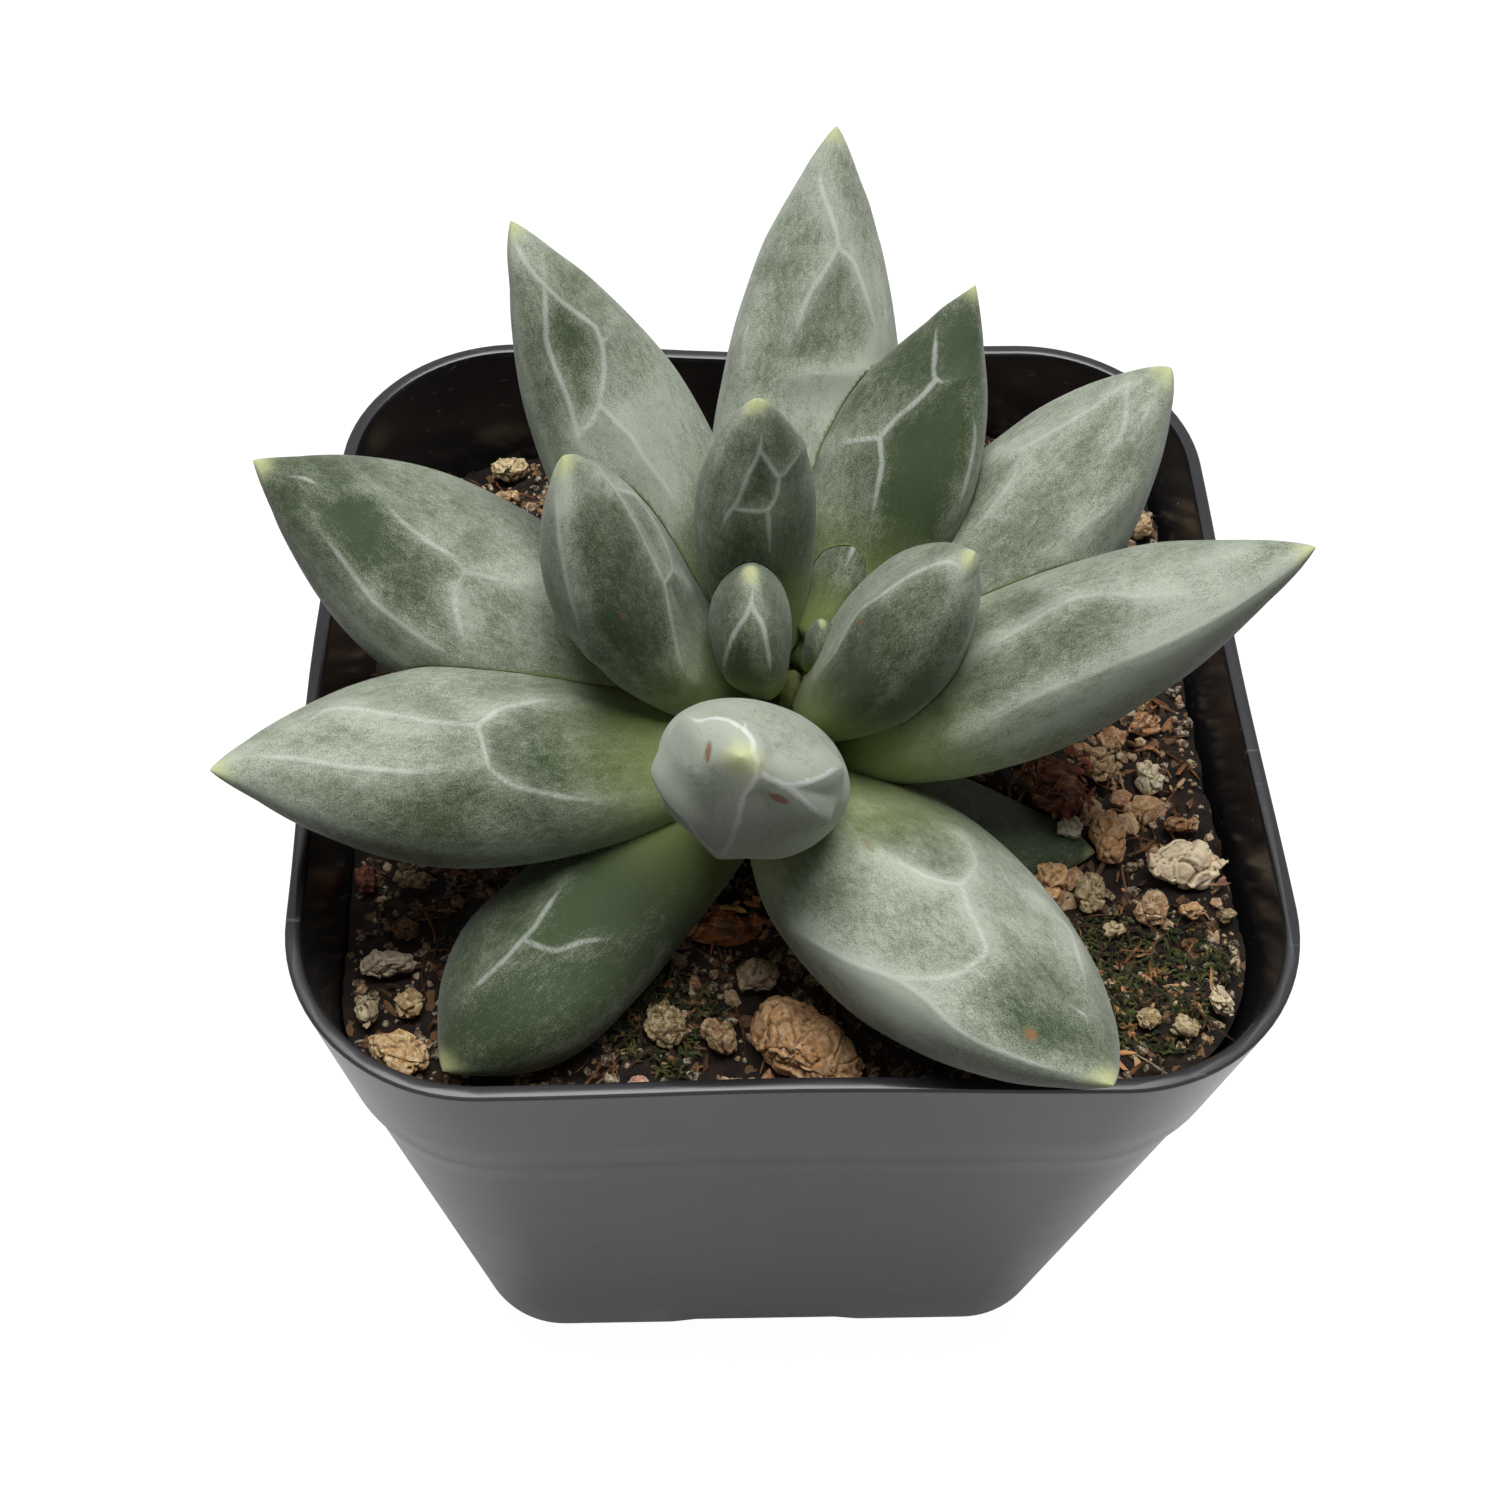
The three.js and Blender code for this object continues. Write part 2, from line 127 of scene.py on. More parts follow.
def finish_in(piece, material):
    """Gives a whole piece one material, whatever the pieces cut out of it left behind."""
    piece.data.materials.clear()
    piece.data.materials.append(material)
    piece.data.polygons.foreach_set("material_index", [0] * len(piece.data.polygons))


# Opal glass, lit from below so that it stays white round the pot.
table_white, table_shader = new_material("lit_opal_glass")
set_inputs(
    table_white,
    table_shader,
    {
        "Base Color": linear(0x6E6E6E),
        "Roughness": 0.6,
        "Emission Color": linear(0xFFFFFF),
        "Emission Strength": 0.97,
    },
)
deselect()
bpy.ops.mesh.primitive_circle_add(vertices=96, radius=1.2, fill_type="NGON", location=(0, 0, -0.2 * MM))
table = bpy.context.object
table.name = "white_table"
finish_in(table, table_white)
table.visible_diffuse = False
table.visible_glossy = False

# What the glossy pot mirrors: the same glass under the room's light, in the pot's own shadow.
sheet_white, sheet_shader = new_material("matt_white_sheet")
set_inputs(
    sheet_white,
    sheet_shader,
    {
        "Base Color": linear(0xE2E2E2),
        "Roughness": 1.0,
        "Emission Color": linear(0xFFFFFF),
        "Emission Strength": 0.2,
    },
)
deselect()
bpy.ops.mesh.primitive_circle_add(vertices=96, radius=1.2, fill_type="NGON", location=(0, 0, -0.1 * MM))
sheet = bpy.context.object
sheet.name = "mirrored_sheet"
finish_in(sheet, sheet_white)
sheet.visible_camera = False
sheet.visible_diffuse = False
sheet.visible_shadow = False

world = bpy.data.worlds.new("studio_air")
bpy.context.scene.world = world
world.use_nodes = True
world.node_tree.nodes["Background"].inputs["Color"].default_value = linear(0xFFFFFF)
world.node_tree.nodes["Background"].inputs["Strength"].default_value = 1.0
world.cycles_visibility.diffuse = False


def add_softbox(name, place, size, power):
    """A square softbox that faces the plant."""
    bpy.ops.object.light_add(type="AREA", location=place)
    light = bpy.context.object
    light.name = name
    light.data.shape = "SQUARE"
    light.data.size = size
    light.data.energy = power
    aim = Vector((0, 0, 0.07)) - Vector(place)
    light.rotation_euler = aim.to_track_quat("-Z", "Y").to_euler()
    return light


add_softbox("overhead_softbox", (0.0, 0.07, 0.62), 0.34, 4.1)
add_softbox("front_softbox", (-0.25, -0.75, 0.45), 0.5, 0.6)


# ---- Pot ----
# Square tapered nursery pot of thin black polypropylene, injection moulded in one piece, with a
# collar under its rim, four low feet between the arms of a cross, and four drain holes.
POT_HEIGHT = 66 * MM
RIM_HALF = 35 * MM
BASE_HALF = 27 * MM
RIM_CORNER = 13.8 * MM
BASE_CORNER = 8.4 * MM
WALL = 1.1 * MM
FLOOR = 1.4 * MM
COLLAR_FOOT = 51.4 * MM
COLLAR_STEP = 0.16 * MM
COLLAR_SLOPE = 0.35 * MM
BOTTOM_ROUND = 0.8 * MM
LIP_ROUND = 0.28 * MM
CHANNEL_TOP = 6.5 * MM
CHANNEL_FOOT = 10.35 * MM
CHANNEL_HEIGHT = 1.6 * MM
DRAIN_RADIUS = 3 * MM
DRAIN_REACH = 16 * MM
CORNER_POINTS = 20
SIDE_POINTS = 12
# How far the middle of each side is pressed in at the rim: right, back, left, front.
SIDE_PRESS = (0.27 * MM, 0.9 * MM, -0.5 * MM, 0.34 * MM)


def taper_half(z):
    return BASE_HALF + (RIM_HALF - BASE_HALF) * z / POT_HEIGHT


def taper_corner(z):
    return BASE_CORNER + (RIM_CORNER - BASE_CORNER) * z / POT_HEIGHT


def square_place(k, z, inset):
    """The k-th point of the pot's rounded square outline at a height, moved in by inset."""
    per_quarter = CORNER_POINTS + SIDE_POINTS
    quarter, step = divmod(k % (4 * per_quarter), per_quarter)
    half = taper_half(z) - inset
    corner = taper_corner(z) - inset
    flat = half - corner
    if step <= CORNER_POINTS:
        turn = math.pi / 2 * step / CORNER_POINTS
        x = flat + corner * math.cos(turn)
        y = flat + corner * math.sin(turn)
    else:
        share = (step - CORNER_POINTS) / SIDE_POINTS
        x = flat - 2 * flat * share
        y = half
        y -= SIDE_PRESS[(quarter + 1) % 4] * math.sin(math.pi * share) ** 2 * (z / POT_HEIGHT) ** 2
    for _ in range(quarter):
        x, y = -y, x
    return Vector((POT_X + x, POT_Y + y, z))


def stacked_rings(name, rings):
    """A closed piece made by extruding one ring upwards again and again; rings lists height and inset."""
    count = 4 * (CORNER_POINTS + SIDE_POINTS)
    deselect()
    bpy.ops.mesh.primitive_circle_add(vertices=count, radius=0.03, fill_type="NGON")
    piece = bpy.context.object
    piece.name = name
    bpy.ops.object.mode_set(mode="EDIT")
    for _ in rings[1:]:
        bpy.ops.mesh.extrude_region_move(TRANSFORM_OT_translate={"value": (0, 0, 0.01)})
    bpy.ops.object.mode_set(mode="OBJECT")
    for vertex in piece.data.vertices:
        level = round(vertex.co.z / 0.01)
        k = round(math.atan2(vertex.co.y, vertex.co.x) / (2 * math.pi) * count)
        vertex.co = square_place(k, *rings[level])
    bpy.ops.object.mode_set(mode="EDIT")
    bpy.ops.mesh.select_all(action="SELECT")
    bpy.ops.mesh.normals_make_consistent(inside=False)
    bpy.ops.object.mode_set(mode="OBJECT")
    return piece


def cut_away(piece, cutter, keep_cutter=False):
    """Cuts one closed piece out of another."""
    bpy.context.view_layer.objects.active = piece
    cut = piece.modifiers.new("cut", "BOOLEAN")
    cut.operation = "DIFFERENCE"
    cut.solver = "MANIFOLD"
    cut.object = cutter
    bpy.ops.object.modifier_apply(modifier=cut.name)
    if not keep_cutter:
        bpy.data.objects.remove(cutter)


def add_bar(name, size, place):
    """A plain bar that only serves to cut."""
    deselect()
    bpy.ops.mesh.primitive_cube_add(size=1, location=place)
    bar = bpy.context.object
    bar.name = name
    bar.scale = size
    bpy.ops.object.transform_apply(location=True, rotation=True, scale=True)
    return bar


def channel_bar(turn, thickness):
    """One arm of the cross under the pot: a long bar that is wider at its foot."""
    top = CHANNEL_TOP + thickness
    foot = CHANNEL_FOOT + thickness
    height = CHANNEL_HEIGHT + thickness
    bar = add_bar("channel", (2 * top, 160 * MM, 2 * height), (0, 0, 0))
    for vertex in bar.data.vertices:
        if vertex.co.z < 0:
            vertex.co.x *= (2 * foot - top) / top
    bar.data.transform(Matrix.Translation(POT_CENTRE) @ Matrix.Rotation(turn, 4, "Z"))
    return bar


round_turns = [math.pi / 2 * k / 6 for k in range(7)]
outer_rings = [
    (BOTTOM_ROUND * (1 - math.cos(a)), COLLAR_STEP + (BOTTOM_ROUND - COLLAR_STEP) * (1 - math.sin(a)))
    for a in round_turns
]
outer_rings += [(z * MM, COLLAR_STEP) for z in (8, 16, 24, 32, 40, 47)]
outer_rings += [
    (COLLAR_FOOT - COLLAR_SLOPE, COLLAR_STEP),
    (COLLAR_FOOT - COLLAR_SLOPE * 0.75, COLLAR_STEP * 0.85),
    (COLLAR_FOOT - COLLAR_SLOPE * 0.25, -COLLAR_STEP * 0.85),
    (COLLAR_FOOT, -COLLAR_STEP),
    (56 * MM, -COLLAR_STEP * 0.68),
    (61 * MM, -COLLAR_STEP * 0.34),
    (POT_HEIGHT - LIP_ROUND * 2, 0),
]
outer_rings += [
    (POT_HEIGHT - LIP_ROUND * (1 - math.sin(a)), LIP_ROUND * (1 - math.cos(a))) for a in round_turns
]
inner_rings = [
    (FLOOR, WALL + BOTTOM_ROUND),
    (FLOOR + BOTTOM_ROUND * 0.3, WALL + BOTTOM_ROUND * 0.4),
    (FLOOR + BOTTOM_ROUND, WALL + COLLAR_STEP),
    (20 * MM, WALL + COLLAR_STEP),
    (40 * MM, WALL + COLLAR_STEP),
    (COLLAR_FOOT - COLLAR_SLOPE, WALL + COLLAR_STEP),
    (COLLAR_FOOT, WALL - COLLAR_STEP),
    (57 * MM, WALL - COLLAR_STEP * 0.6),
    (POT_HEIGHT - LIP_ROUND * 2, WALL),
    (POT_HEIGHT - LIP_ROUND, WALL),
    (POT_HEIGHT - LIP_ROUND * 0.3, WALL - LIP_ROUND * 0.3),
    (POT_HEIGHT, WALL - LIP_ROUND),
    (POT_HEIGHT + 1 * MM, WALL - LIP_ROUND),
]
pot = stacked_rings("nursery_pot", outer_rings)
room = stacked_rings("room", inner_rings)
for turn in (0, math.pi / 2):
    cut_away(pot, channel_bar(turn, 0))
    cut_away(room, channel_bar(turn, FLOOR))
cut_away(pot, room)
for k in range(4):
    deselect()
    bpy.ops.mesh.primitive_cylinder_add(vertices=48, radius=DRAIN_RADIUS, depth=16 * MM)
    drill = bpy.context.object
    turn = math.pi / 2 * k
    hole = POT_CENTRE + Vector((math.cos(turn), math.sin(turn), 0)) * DRAIN_REACH
    drill.data.transform(Matrix.Translation(hole))
    cut_away(pot, drill)
bpy.context.view_layer.objects.active = pot
deselect()
pot.select_set(True)
bpy.ops.object.shade_smooth_by_angle(angle=math.radians(38))

# Black polypropylene, moulded, with the dull skin, faint flow streaks and rubbed edges of a cheap pot.
black_plastic, shader = new_material("black_polypropylene")
place = add_node(black_plastic, "ShaderNodeTexCoord").outputs["Object"]
cloud = add_node(
    black_plastic, "ShaderNodeTexNoise", {"Vector": place, "Scale": 90.0, "Detail": 5.0, "Roughness": 0.6}
)
streak_place = add_node(black_plastic, "ShaderNodeMapping", {"Vector": place, "Scale": (1.0, 1.0, 0.12)})
streaks = add_node(
    black_plastic,
    "ShaderNodeTexNoise",
    {"Vector": streak_place.outputs[0], "Scale": 420.0, "Detail": 4.0, "Roughness": 0.65},
)
scuff_place = add_node(
    black_plastic,
    "ShaderNodeMapping",
    {"Vector": place, "Rotation": (0.4, 0.3, 0.5), "Scale": (0.15, 1.0, 1.0)},
)
scuff_noise = add_node(
    black_plastic, "ShaderNodeTexNoise", {"Vector": scuff_place.outputs[0], "Scale": 1500.0, "Detail": 3.0}
)
scuffs = add_node(
    black_plastic,
    "ShaderNodeMapRange",
    {"Value": scuff_noise.outputs["Fac"], "From Min": 0.66, "From Max": 0.80, "To Min": 0.0, "To Max": 0.6},
)
dust_cells = add_node(black_plastic, "ShaderNodeTexVoronoi", {"Vector": place, "Scale": 420.0})
dust_random = add_node(
    black_plastic,
    "ShaderNodeMapRange",
    {"Value": dust_cells.outputs["Distance"], "From Min": 0.045, "From Max": 0.02},
)
dust_pick = add_node(black_plastic, "ShaderNodeSeparateColor", {"Color": dust_cells.outputs["Color"]})
dust_some = add_node(
    black_plastic, "ShaderNodeMath", {0: dust_pick.outputs[0], 1: 0.72}, operation="GREATER_THAN"
)
dust = add_node(
    black_plastic,
    "ShaderNodeMath",
    {0: dust_random.outputs[0], 1: dust_some.outputs[0]},
    operation="MULTIPLY",
)
skin = add_node(
    black_plastic,
    "ShaderNodeMix",
    {0: cloud.outputs["Fac"], 6: linear(0x17171A), 7: linear(0x26262A)},
    data_type="RGBA",
)
rubbed = add_node(
    black_plastic,
    "ShaderNodeMix",
    {0: scuffs.outputs[0], 6: skin.outputs[2], 7: linear(0x6E6E72)},
    data_type="RGBA",
)
dusted = add_node(
    black_plastic,
    "ShaderNodeMix",
    {0: dust.outputs[0], 6: rubbed.outputs[2], 7: linear(0xD6D2C8)},
    data_type="RGBA",
)
dull = add_node(
    black_plastic,
    "ShaderNodeMapRange",
    {"Value": cloud.outputs["Fac"], "From Min": 0.3, "From Max": 0.7, "To Min": 0.22, "To Max": 0.27},
)
grain = add_node(
    black_plastic,
    "ShaderNodeBump",
    {"Height": streaks.outputs["Fac"], "Strength": 0.12, "Distance": 0.05 * MM},
)
set_inputs(
    black_plastic,
    shader,
    {
        "Base Color": dusted.outputs[2],
        "Roughness": dull.outputs[0],
        "Normal": grain.outputs[0],
        "IOR": 1.5,
        "Specular IOR Level": 0.4,
    },
)
finish_in(pot, black_plastic)
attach(pot, "root")
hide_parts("pot")


# ---- Soil ----
# Dark peaty potting mix with fine grit, pressed in level by hand and sunk a little since.
SOIL_TOP = 57.3 * MM
SOIL_GRID = 230
SOIL_GAP = 0.12 * MM
SOIL_BED_GAP = 0.25 * MM
SOIL_FOOT = 4 * MM


def heaped(x, y):
    """Height of the soil's plain surface at a place, before its crumbs."""
    across = (x - POT_X) / MM
    along = (y - POT_Y) / MM
    lump = 0.35 * math.sin(across / 9 + 1) * math.cos(1.3 * along / 9)
    return SOIL_TOP + (0.07 * across - 0.03 * along + lump) * MM


def crumbled(x, y):
    """Height of the soil with its lumps and crumbs."""
    coarse = noise.fractal(Vector((x, y, 0)) / (2.6 * MM), 0.9, 2.1, 4)
    fine = noise.noise(Vector((x, y, 3 * MM)) / (0.55 * MM))
    return heaped(x, y) + (0.9 * coarse + 0.22 * fine - 0.6) * MM


def tree_of(nodes):
    """One search tree through the meshes of several objects."""
    points, faces = [], []
    for node in nodes:
        start = len(points)
        points += [v.co.copy() for v in node.data.vertices]
        faces += [[start + i for i in face.vertices] for face in node.data.polygons]
    return BVHTree.FromPolygons(points, faces)


bedded = tree_of([node for name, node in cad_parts.items() if name not in ("pot", "soil")])


def underside(x, y):
    """Height of the lowest leaf, stone or stem over a place in the soil, or a large height."""
    hit = bedded.ray_cast(Vector((x, y, 0.045)), Vector((0, 0, 1)))[0]
    return hit.z if hit else 1.0


soil_half = taper_half(SOIL_TOP) - WALL - SOIL_GAP
soil_corner = taper_corner(SOIL_TOP) - WALL - SOIL_GAP


def side_press(x, y, z):
    """How far the pot's pressed sides move in at a place on the soil's edge."""
    flat = soil_half - soil_corner
    pressed = Vector((0, 0, 0))
    share = (z / POT_HEIGHT) ** 2
    if abs(y) < flat:
        middle = math.cos(math.pi / 2 * y / flat) ** 2
        pressed.x = -SIDE_PRESS[0] * middle if x > 0 else SIDE_PRESS[2] * middle
    if abs(x) < flat:
        middle = math.cos(math.pi / 2 * x / flat) ** 2
        pressed.y = -SIDE_PRESS[1] * middle if y > 0 else SIDE_PRESS[3] * middle
    return pressed * share


deselect()
bpy.ops.mesh.primitive_grid_add(x_subdivisions=SOIL_GRID, y_subdivisions=SOIL_GRID, size=2)
soil = bpy.context.object
soil.name = "potting_soil"
bpy.ops.object.mode_set(mode="EDIT")
bpy.ops.mesh.select_all(action="SELECT")
bpy.ops.mesh.region_to_loop()
bpy.ops.mesh.extrude_region_move(TRANSFORM_OT_translate={"value": (0, 0, -1)})
bpy.ops.mesh.edge_face_add()
bpy.ops.object.mode_set(mode="OBJECT")
for vertex in soil.data.vertices:
    z = SOIL_TOP if vertex.co.z > -0.5 else SOIL_FOOT
    half = taper_half(z) - WALL - SOIL_GAP - COLLAR_STEP
    corner = taper_corner(z) - WALL - SOIL_GAP
    x = vertex.co.x * half
    y = vertex.co.y * half
    over = Vector((abs(x) - (half - corner), abs(y) - (half - corner)))
    if over.x > 0 and over.y > 0:
        over *= max(over.x, over.y) / over.length
        x = math.copysign(half - corner + over.x, x)
        y = math.copysign(half - corner + over.y, y)
    pressed = side_press(x, y, z) * max(abs(vertex.co.x), abs(vertex.co.y)) ** 8
    x += POT_X + pressed.x
    y += POT_Y + pressed.y
    if vertex.co.z > -0.5:
        z = min(crumbled(x, y), underside(x, y) - SOIL_BED_GAP)
    vertex.co = Vector((x, y, z))
bpy.ops.object.mode_set(mode="EDIT")
bpy.ops.mesh.select_all(action="SELECT")
bpy.ops.mesh.normals_make_consistent(inside=False)
bpy.ops.object.mode_set(mode="OBJECT")
bpy.ops.object.shade_smooth_by_angle(angle=math.radians(50))

# Damp peat and composted bark, dark brown, its colour following its bump: near black in the bump's hollows,
# which is painted shade, and dull brown on its high spots.
peat, shader = new_material("damp_peat")
place = add_node(peat, "ShaderNodeTexCoord").outputs["Object"]
lumps = add_node(
    peat, "ShaderNodeTexNoise", {"Vector": place, "Scale": 450.0, "Detail": 6.0, "Roughness": 0.7}
)
grains = add_node(peat, "ShaderNodeTexVoronoi", {"Vector": place, "Scale": 1400.0})
# Painted shade: the noise that makes the bump also sets the colour, near black where the bump is low.
lump_tint_and_shade = add_node(peat, "ShaderNodeValToRGB", {"Fac": lumps.outputs["Fac"]})
lump_tint_and_shade.color_ramp.elements[0].position = 0.38
lump_tint_and_shade.color_ramp.elements[0].color = linear(0x0C0906)
lump_tint_and_shade.color_ramp.elements[1].position = 0.72
lump_tint_and_shade.color_ramp.elements[1].color = linear(0x33241A)
specks = add_node(peat, "ShaderNodeSeparateColor", {"Color": grains.outputs["Color"]})
pale = add_node(peat, "ShaderNodeMath", {0: specks.outputs[0], 1: 0.93}, operation="GREATER_THAN")
soil_tint = add_node(
    peat, "ShaderNodeMix", {0: pale.outputs[0], 6: lump_tint_and_shade.outputs[0], 7: linear(0x6A5038)}, data_type="RGBA"
)
relief = add_node(
    peat, "ShaderNodeBump", {"Height": lumps.outputs["Fac"], "Strength": 0.9, "Distance": 0.5 * MM}
)
set_inputs(
    peat,
    shader,
    {
        "Base Color": soil_tint.outputs[2],
        "Normal": relief.outputs[0],
        "Roughness": 0.92,
        "IOR": 1.4,
    },
)
finish_in(soil, peat)
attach(soil, "root")
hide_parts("soil")


# ---- Grit stones ----
# Loose lumps of baked clay and pumice, cream to rust, full of pores and cracks; they lie half
# sunk in the soil, and each fills the room that its plain solid keeps clear of the leaves.
STONE_TONES = (
    "CF9A62 F2DFBC C9935E CFA06C A08A62 B08C60 DDD0B2 E4DAC4 9A683C AE8860 C4935E 9A8358 "
    "C4B494 97865E B0957A A07A4E C0A87E A08658 6E4A34 7A6438 B08C58 C2B296 B0A080 A88A58 "
    "A87848 A08A62 A87244 C4AE80 9C7C50 AC9066 A8946A 8A7448 C2AE88 B07C6C"
).split()
STONE_VOXEL = 0.13 * MM
SMALL_STONE_VOXEL = 0.11 * MM
SMALL_STONE = 6 * MM


def paint(piece, name, colour):
    """Gives a piece one colour of its own as an attribute."""
    colours = piece.data.attributes.new(name, "FLOAT_COLOR", "POINT")
    colours.data.foreach_set("color", np.tile(colour, len(piece.data.vertices)))


def lump_from(node_name, name, voxel):
    """A closed copy of a plain solid, merged and remeshed fine enough to carve."""
    deselect()
    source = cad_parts[node_name]
    piece = bpy.data.objects.new(name, source.data.copy())
    piece.data.materials.clear()
    bpy.context.collection.objects.link(piece)
    bpy.context.view_layer.objects.active = piece
    piece.select_set(True)
    bpy.ops.object.mode_set(mode="EDIT")
    bpy.ops.mesh.select_all(action="SELECT")
    bpy.ops.mesh.remove_doubles(threshold=0.01 * MM)
    bpy.ops.object.mode_set(mode="OBJECT")
    remesh = piece.modifiers.new("remesh", "REMESH")
    remesh.mode = "VOXEL"
    remesh.voxel_size = voxel
    bpy.ops.object.modifier_apply(modifier=remesh.name)
    soften = piece.modifiers.new("soften", "SMOOTH")
    soften.iterations = 3
    soften.factor = 0.6
    bpy.ops.object.modifier_apply(modifier=soften.name)
    bpy.ops.object.shade_smooth()
    return piece


def carve(piece, depth_at):
    """Moves each point of a piece inwards along its normal by the depth there."""
    normals = [v.normal.copy() for v in piece.data.vertices]
    for vertex, normal in zip(piece.data.vertices, normals):
        vertex.co -= normal * depth_at(vertex.co)


def stone_wear(seed):
    """Depth of a stone's pits, pores and cracks at a place."""
    shift = Vector((seed * 0.37, seed * 0.61, seed * 0.17))

    def depth(place):
        lumps = noise.ridged_multi_fractal(place / (3.4 * MM) + shift, 0.9, 2.1, 3, 1.0, 2.0) - 1.1
        plates, middles = noise.voronoi(place / (1.9 * MM) + shift + Vector((lumps, lumps, 0)) * 0.4)
        crack = max(0.0, 0.14 - (plates[1] - plates[0])) * 2.4
        pores = noise.voronoi(place / (0.55 * MM) - shift)[0]
        pit = max(0.0, 0.36 - pores[0]) * 0.9 * max(0.0, 0.5 + 2 * noise.noise(place / (1.1 * MM) + shift))
        plate = 0.4 * abs(noise.cell(middles[0] * 7))
        return (0.1 + 0.32 * lumps + plate + pit + crack) * MM

    return depth


# Baked clay grit, matte and dusty, with random stains, and painted shade that darkens its pores and cracks
# so that its high spots look paler.
baked_clay, shader = new_material("baked_clay_grit")
place = add_node(baked_clay, "ShaderNodeTexCoord").outputs["Object"]
own = add_node(baked_clay, "ShaderNodeAttribute", attribute_name="clay").outputs["Color"]
stain_noise = add_node(
    baked_clay, "ShaderNodeTexNoise", {"Vector": place, "Scale": 520.0, "Detail": 6.0, "Roughness": 0.7}
)
fine_noise = add_node(
    baked_clay, "ShaderNodeTexNoise", {"Vector": place, "Scale": 2600.0, "Detail": 4.0, "Roughness": 0.7}
)
hollows = add_node(baked_clay, "ShaderNodeNewGeometry").outputs["Pointiness"]
stained = add_node(
    baked_clay,
    "ShaderNodeMix",
    {6: own, 7: linear(0xB5763F)},
    data_type="RGBA",
    blend_type="MULTIPLY",
)
stain = add_node(
    baked_clay,
    "ShaderNodeMapRange",
    {"Value": stain_noise.outputs["Fac"], "From Min": 0.50, "From Max": 0.72, "To Min": 0.0, "To Max": 0.7},
)
baked_clay.node_tree.links.new(stain.outputs[0], stained.inputs[0])
dusty = add_node(
    baked_clay,
    "ShaderNodeMapRange",
    {"Value": fine_noise.outputs["Fac"], "From Min": 0.45, "From Max": 0.62, "To Min": 0.0, "To Max": 0.55},
)
powdered = add_node(
    baked_clay,
    "ShaderNodeMix",
    {0: dusty.outputs[0], 6: stained.outputs[2], 7: linear(0xF0DFBE)},
    data_type="RGBA",
)
# Painted shade: the grit is darkened where its surface is hollow, in its pores and cracks.
crease_shade = add_node(
    baked_clay,
    "ShaderNodeMapRange",
    {"Value": hollows, "From Min": 0.42, "From Max": 0.52, "To Min": 0.3, "To Max": 1.0},
)
shadowed = add_node(
    baked_clay,
    "ShaderNodeMix",
    {0: 1.0, 6: powdered.outputs[2], 7: crease_shade.outputs[0]},
    data_type="RGBA",
    blend_type="MULTIPLY",
)
grit = add_node(
    baked_clay,
    "ShaderNodeBump",
    {"Height": fine_noise.outputs["Fac"], "Strength": 0.6, "Distance": 0.12 * MM},
)
set_inputs(
    baked_clay,
    shader,
    {
        "Base Color": shadowed.outputs[2],
        "Normal": grit.outputs[0],
        "Roughness": 0.9,
        "IOR": 1.5,
    },
)

for number, tone in enumerate(STONE_TONES, start=1):
    node_name = f"stone_{number:02d}"
    low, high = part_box(node_name)
    voxel = STONE_VOXEL if (high - low).length > SMALL_STONE else SMALL_STONE_VOXEL
    stone = lump_from(node_name, f"grit_{number:02d}", voxel)
    carve(stone, stone_wear(number))
    paint(stone, "clay", linear(int(tone, 16)))
    finish_in(stone, baked_clay)
    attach(stone, "root")
    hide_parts(node_name)


# ---- Bark ----
# Chips of composted pine bark, layered and frayed, red brown inside and dark on the skin.
BARK_TONES = ("74402A", "7A4A36", "B8713A")
BARK_VOXEL = 0.11 * MM


def bark_wear(seed):
    """Depth of a chip's fibre grooves and broken layers at a place."""
    shift = Vector((seed * 0.53, seed * 0.29, seed * 0.71))

    def depth(place):
        along = Vector((place.x / 2.4, place.y / 0.5, place.z / 0.42)) / MM
        fibres = noise.fractal(along + shift, 0.8, 2.0, 3)
        breaks = noise.noise(place / (1.1 * MM) - shift)
        return (0.2 - 0.24 * fibres + 0.3 * max(0.0, breaks)) * MM

    return depth


pine_bark, shader = new_material("composted_pine_bark")
place = add_node(pine_bark, "ShaderNodeTexCoord").outputs["Object"]
own = add_node(pine_bark, "ShaderNodeAttribute", attribute_name="clay").outputs["Color"]
stretch = add_node(pine_bark, "ShaderNodeMapping", {"Vector": place, "Scale": (0.25, 1.0, 1.0)})
fibre_noise = add_node(
    pine_bark, "ShaderNodeTexNoise", {"Vector": stretch.outputs[0], "Scale": 1800.0, "Detail": 5.0}
)
layers = add_node(pine_bark, "ShaderNodeTexNoise", {"Vector": place, "Scale": 500.0, "Detail": 4.0})
darker = add_node(
    pine_bark,
    "ShaderNodeMapRange",
    {"Value": layers.outputs["Fac"], "From Min": 0.4, "From Max": 0.66, "To Min": 1.0, "To Max": 0.25},
)
shaded = add_node(
    pine_bark,
    "ShaderNodeMix",
    {0: 1.0, 6: own, 7: darker.outputs[0]},
    data_type="RGBA",
    blend_type="MULTIPLY",
)
straw = add_node(
    pine_bark,
    "ShaderNodeMapRange",
    {"Value": fibre_noise.outputs["Fac"], "From Min": 0.56, "From Max": 0.7, "To Min": 0.0, "To Max": 0.6},
)
chip_tint = add_node(
    pine_bark,
    "ShaderNodeMix",
    {0: straw.outputs[0], 6: shaded.outputs[2], 7: linear(0xD69A62)},
    data_type="RGBA",
)
frayed = add_node(
    pine_bark,
    "ShaderNodeBump",
    {"Height": fibre_noise.outputs["Fac"], "Strength": 0.9, "Distance": 0.2 * MM},
)
set_inputs(
    pine_bark,
    shader,
    {
        "Base Color": chip_tint.outputs[2],
        "Normal": frayed.outputs[0],
        "Roughness": 0.8,
    },
)

for number, tone in enumerate(BARK_TONES, start=1):
    node_name = f"bark_{number:02d}"
    chip = lump_from(node_name, f"bark_chip_{number:02d}", BARK_VOXEL)
    carve(chip, bark_wear(number))
    paint(chip, "clay", linear(int(tone, 16)))
    finish_in(chip, pine_bark)
    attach(chip, "root")
    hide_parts(node_name)


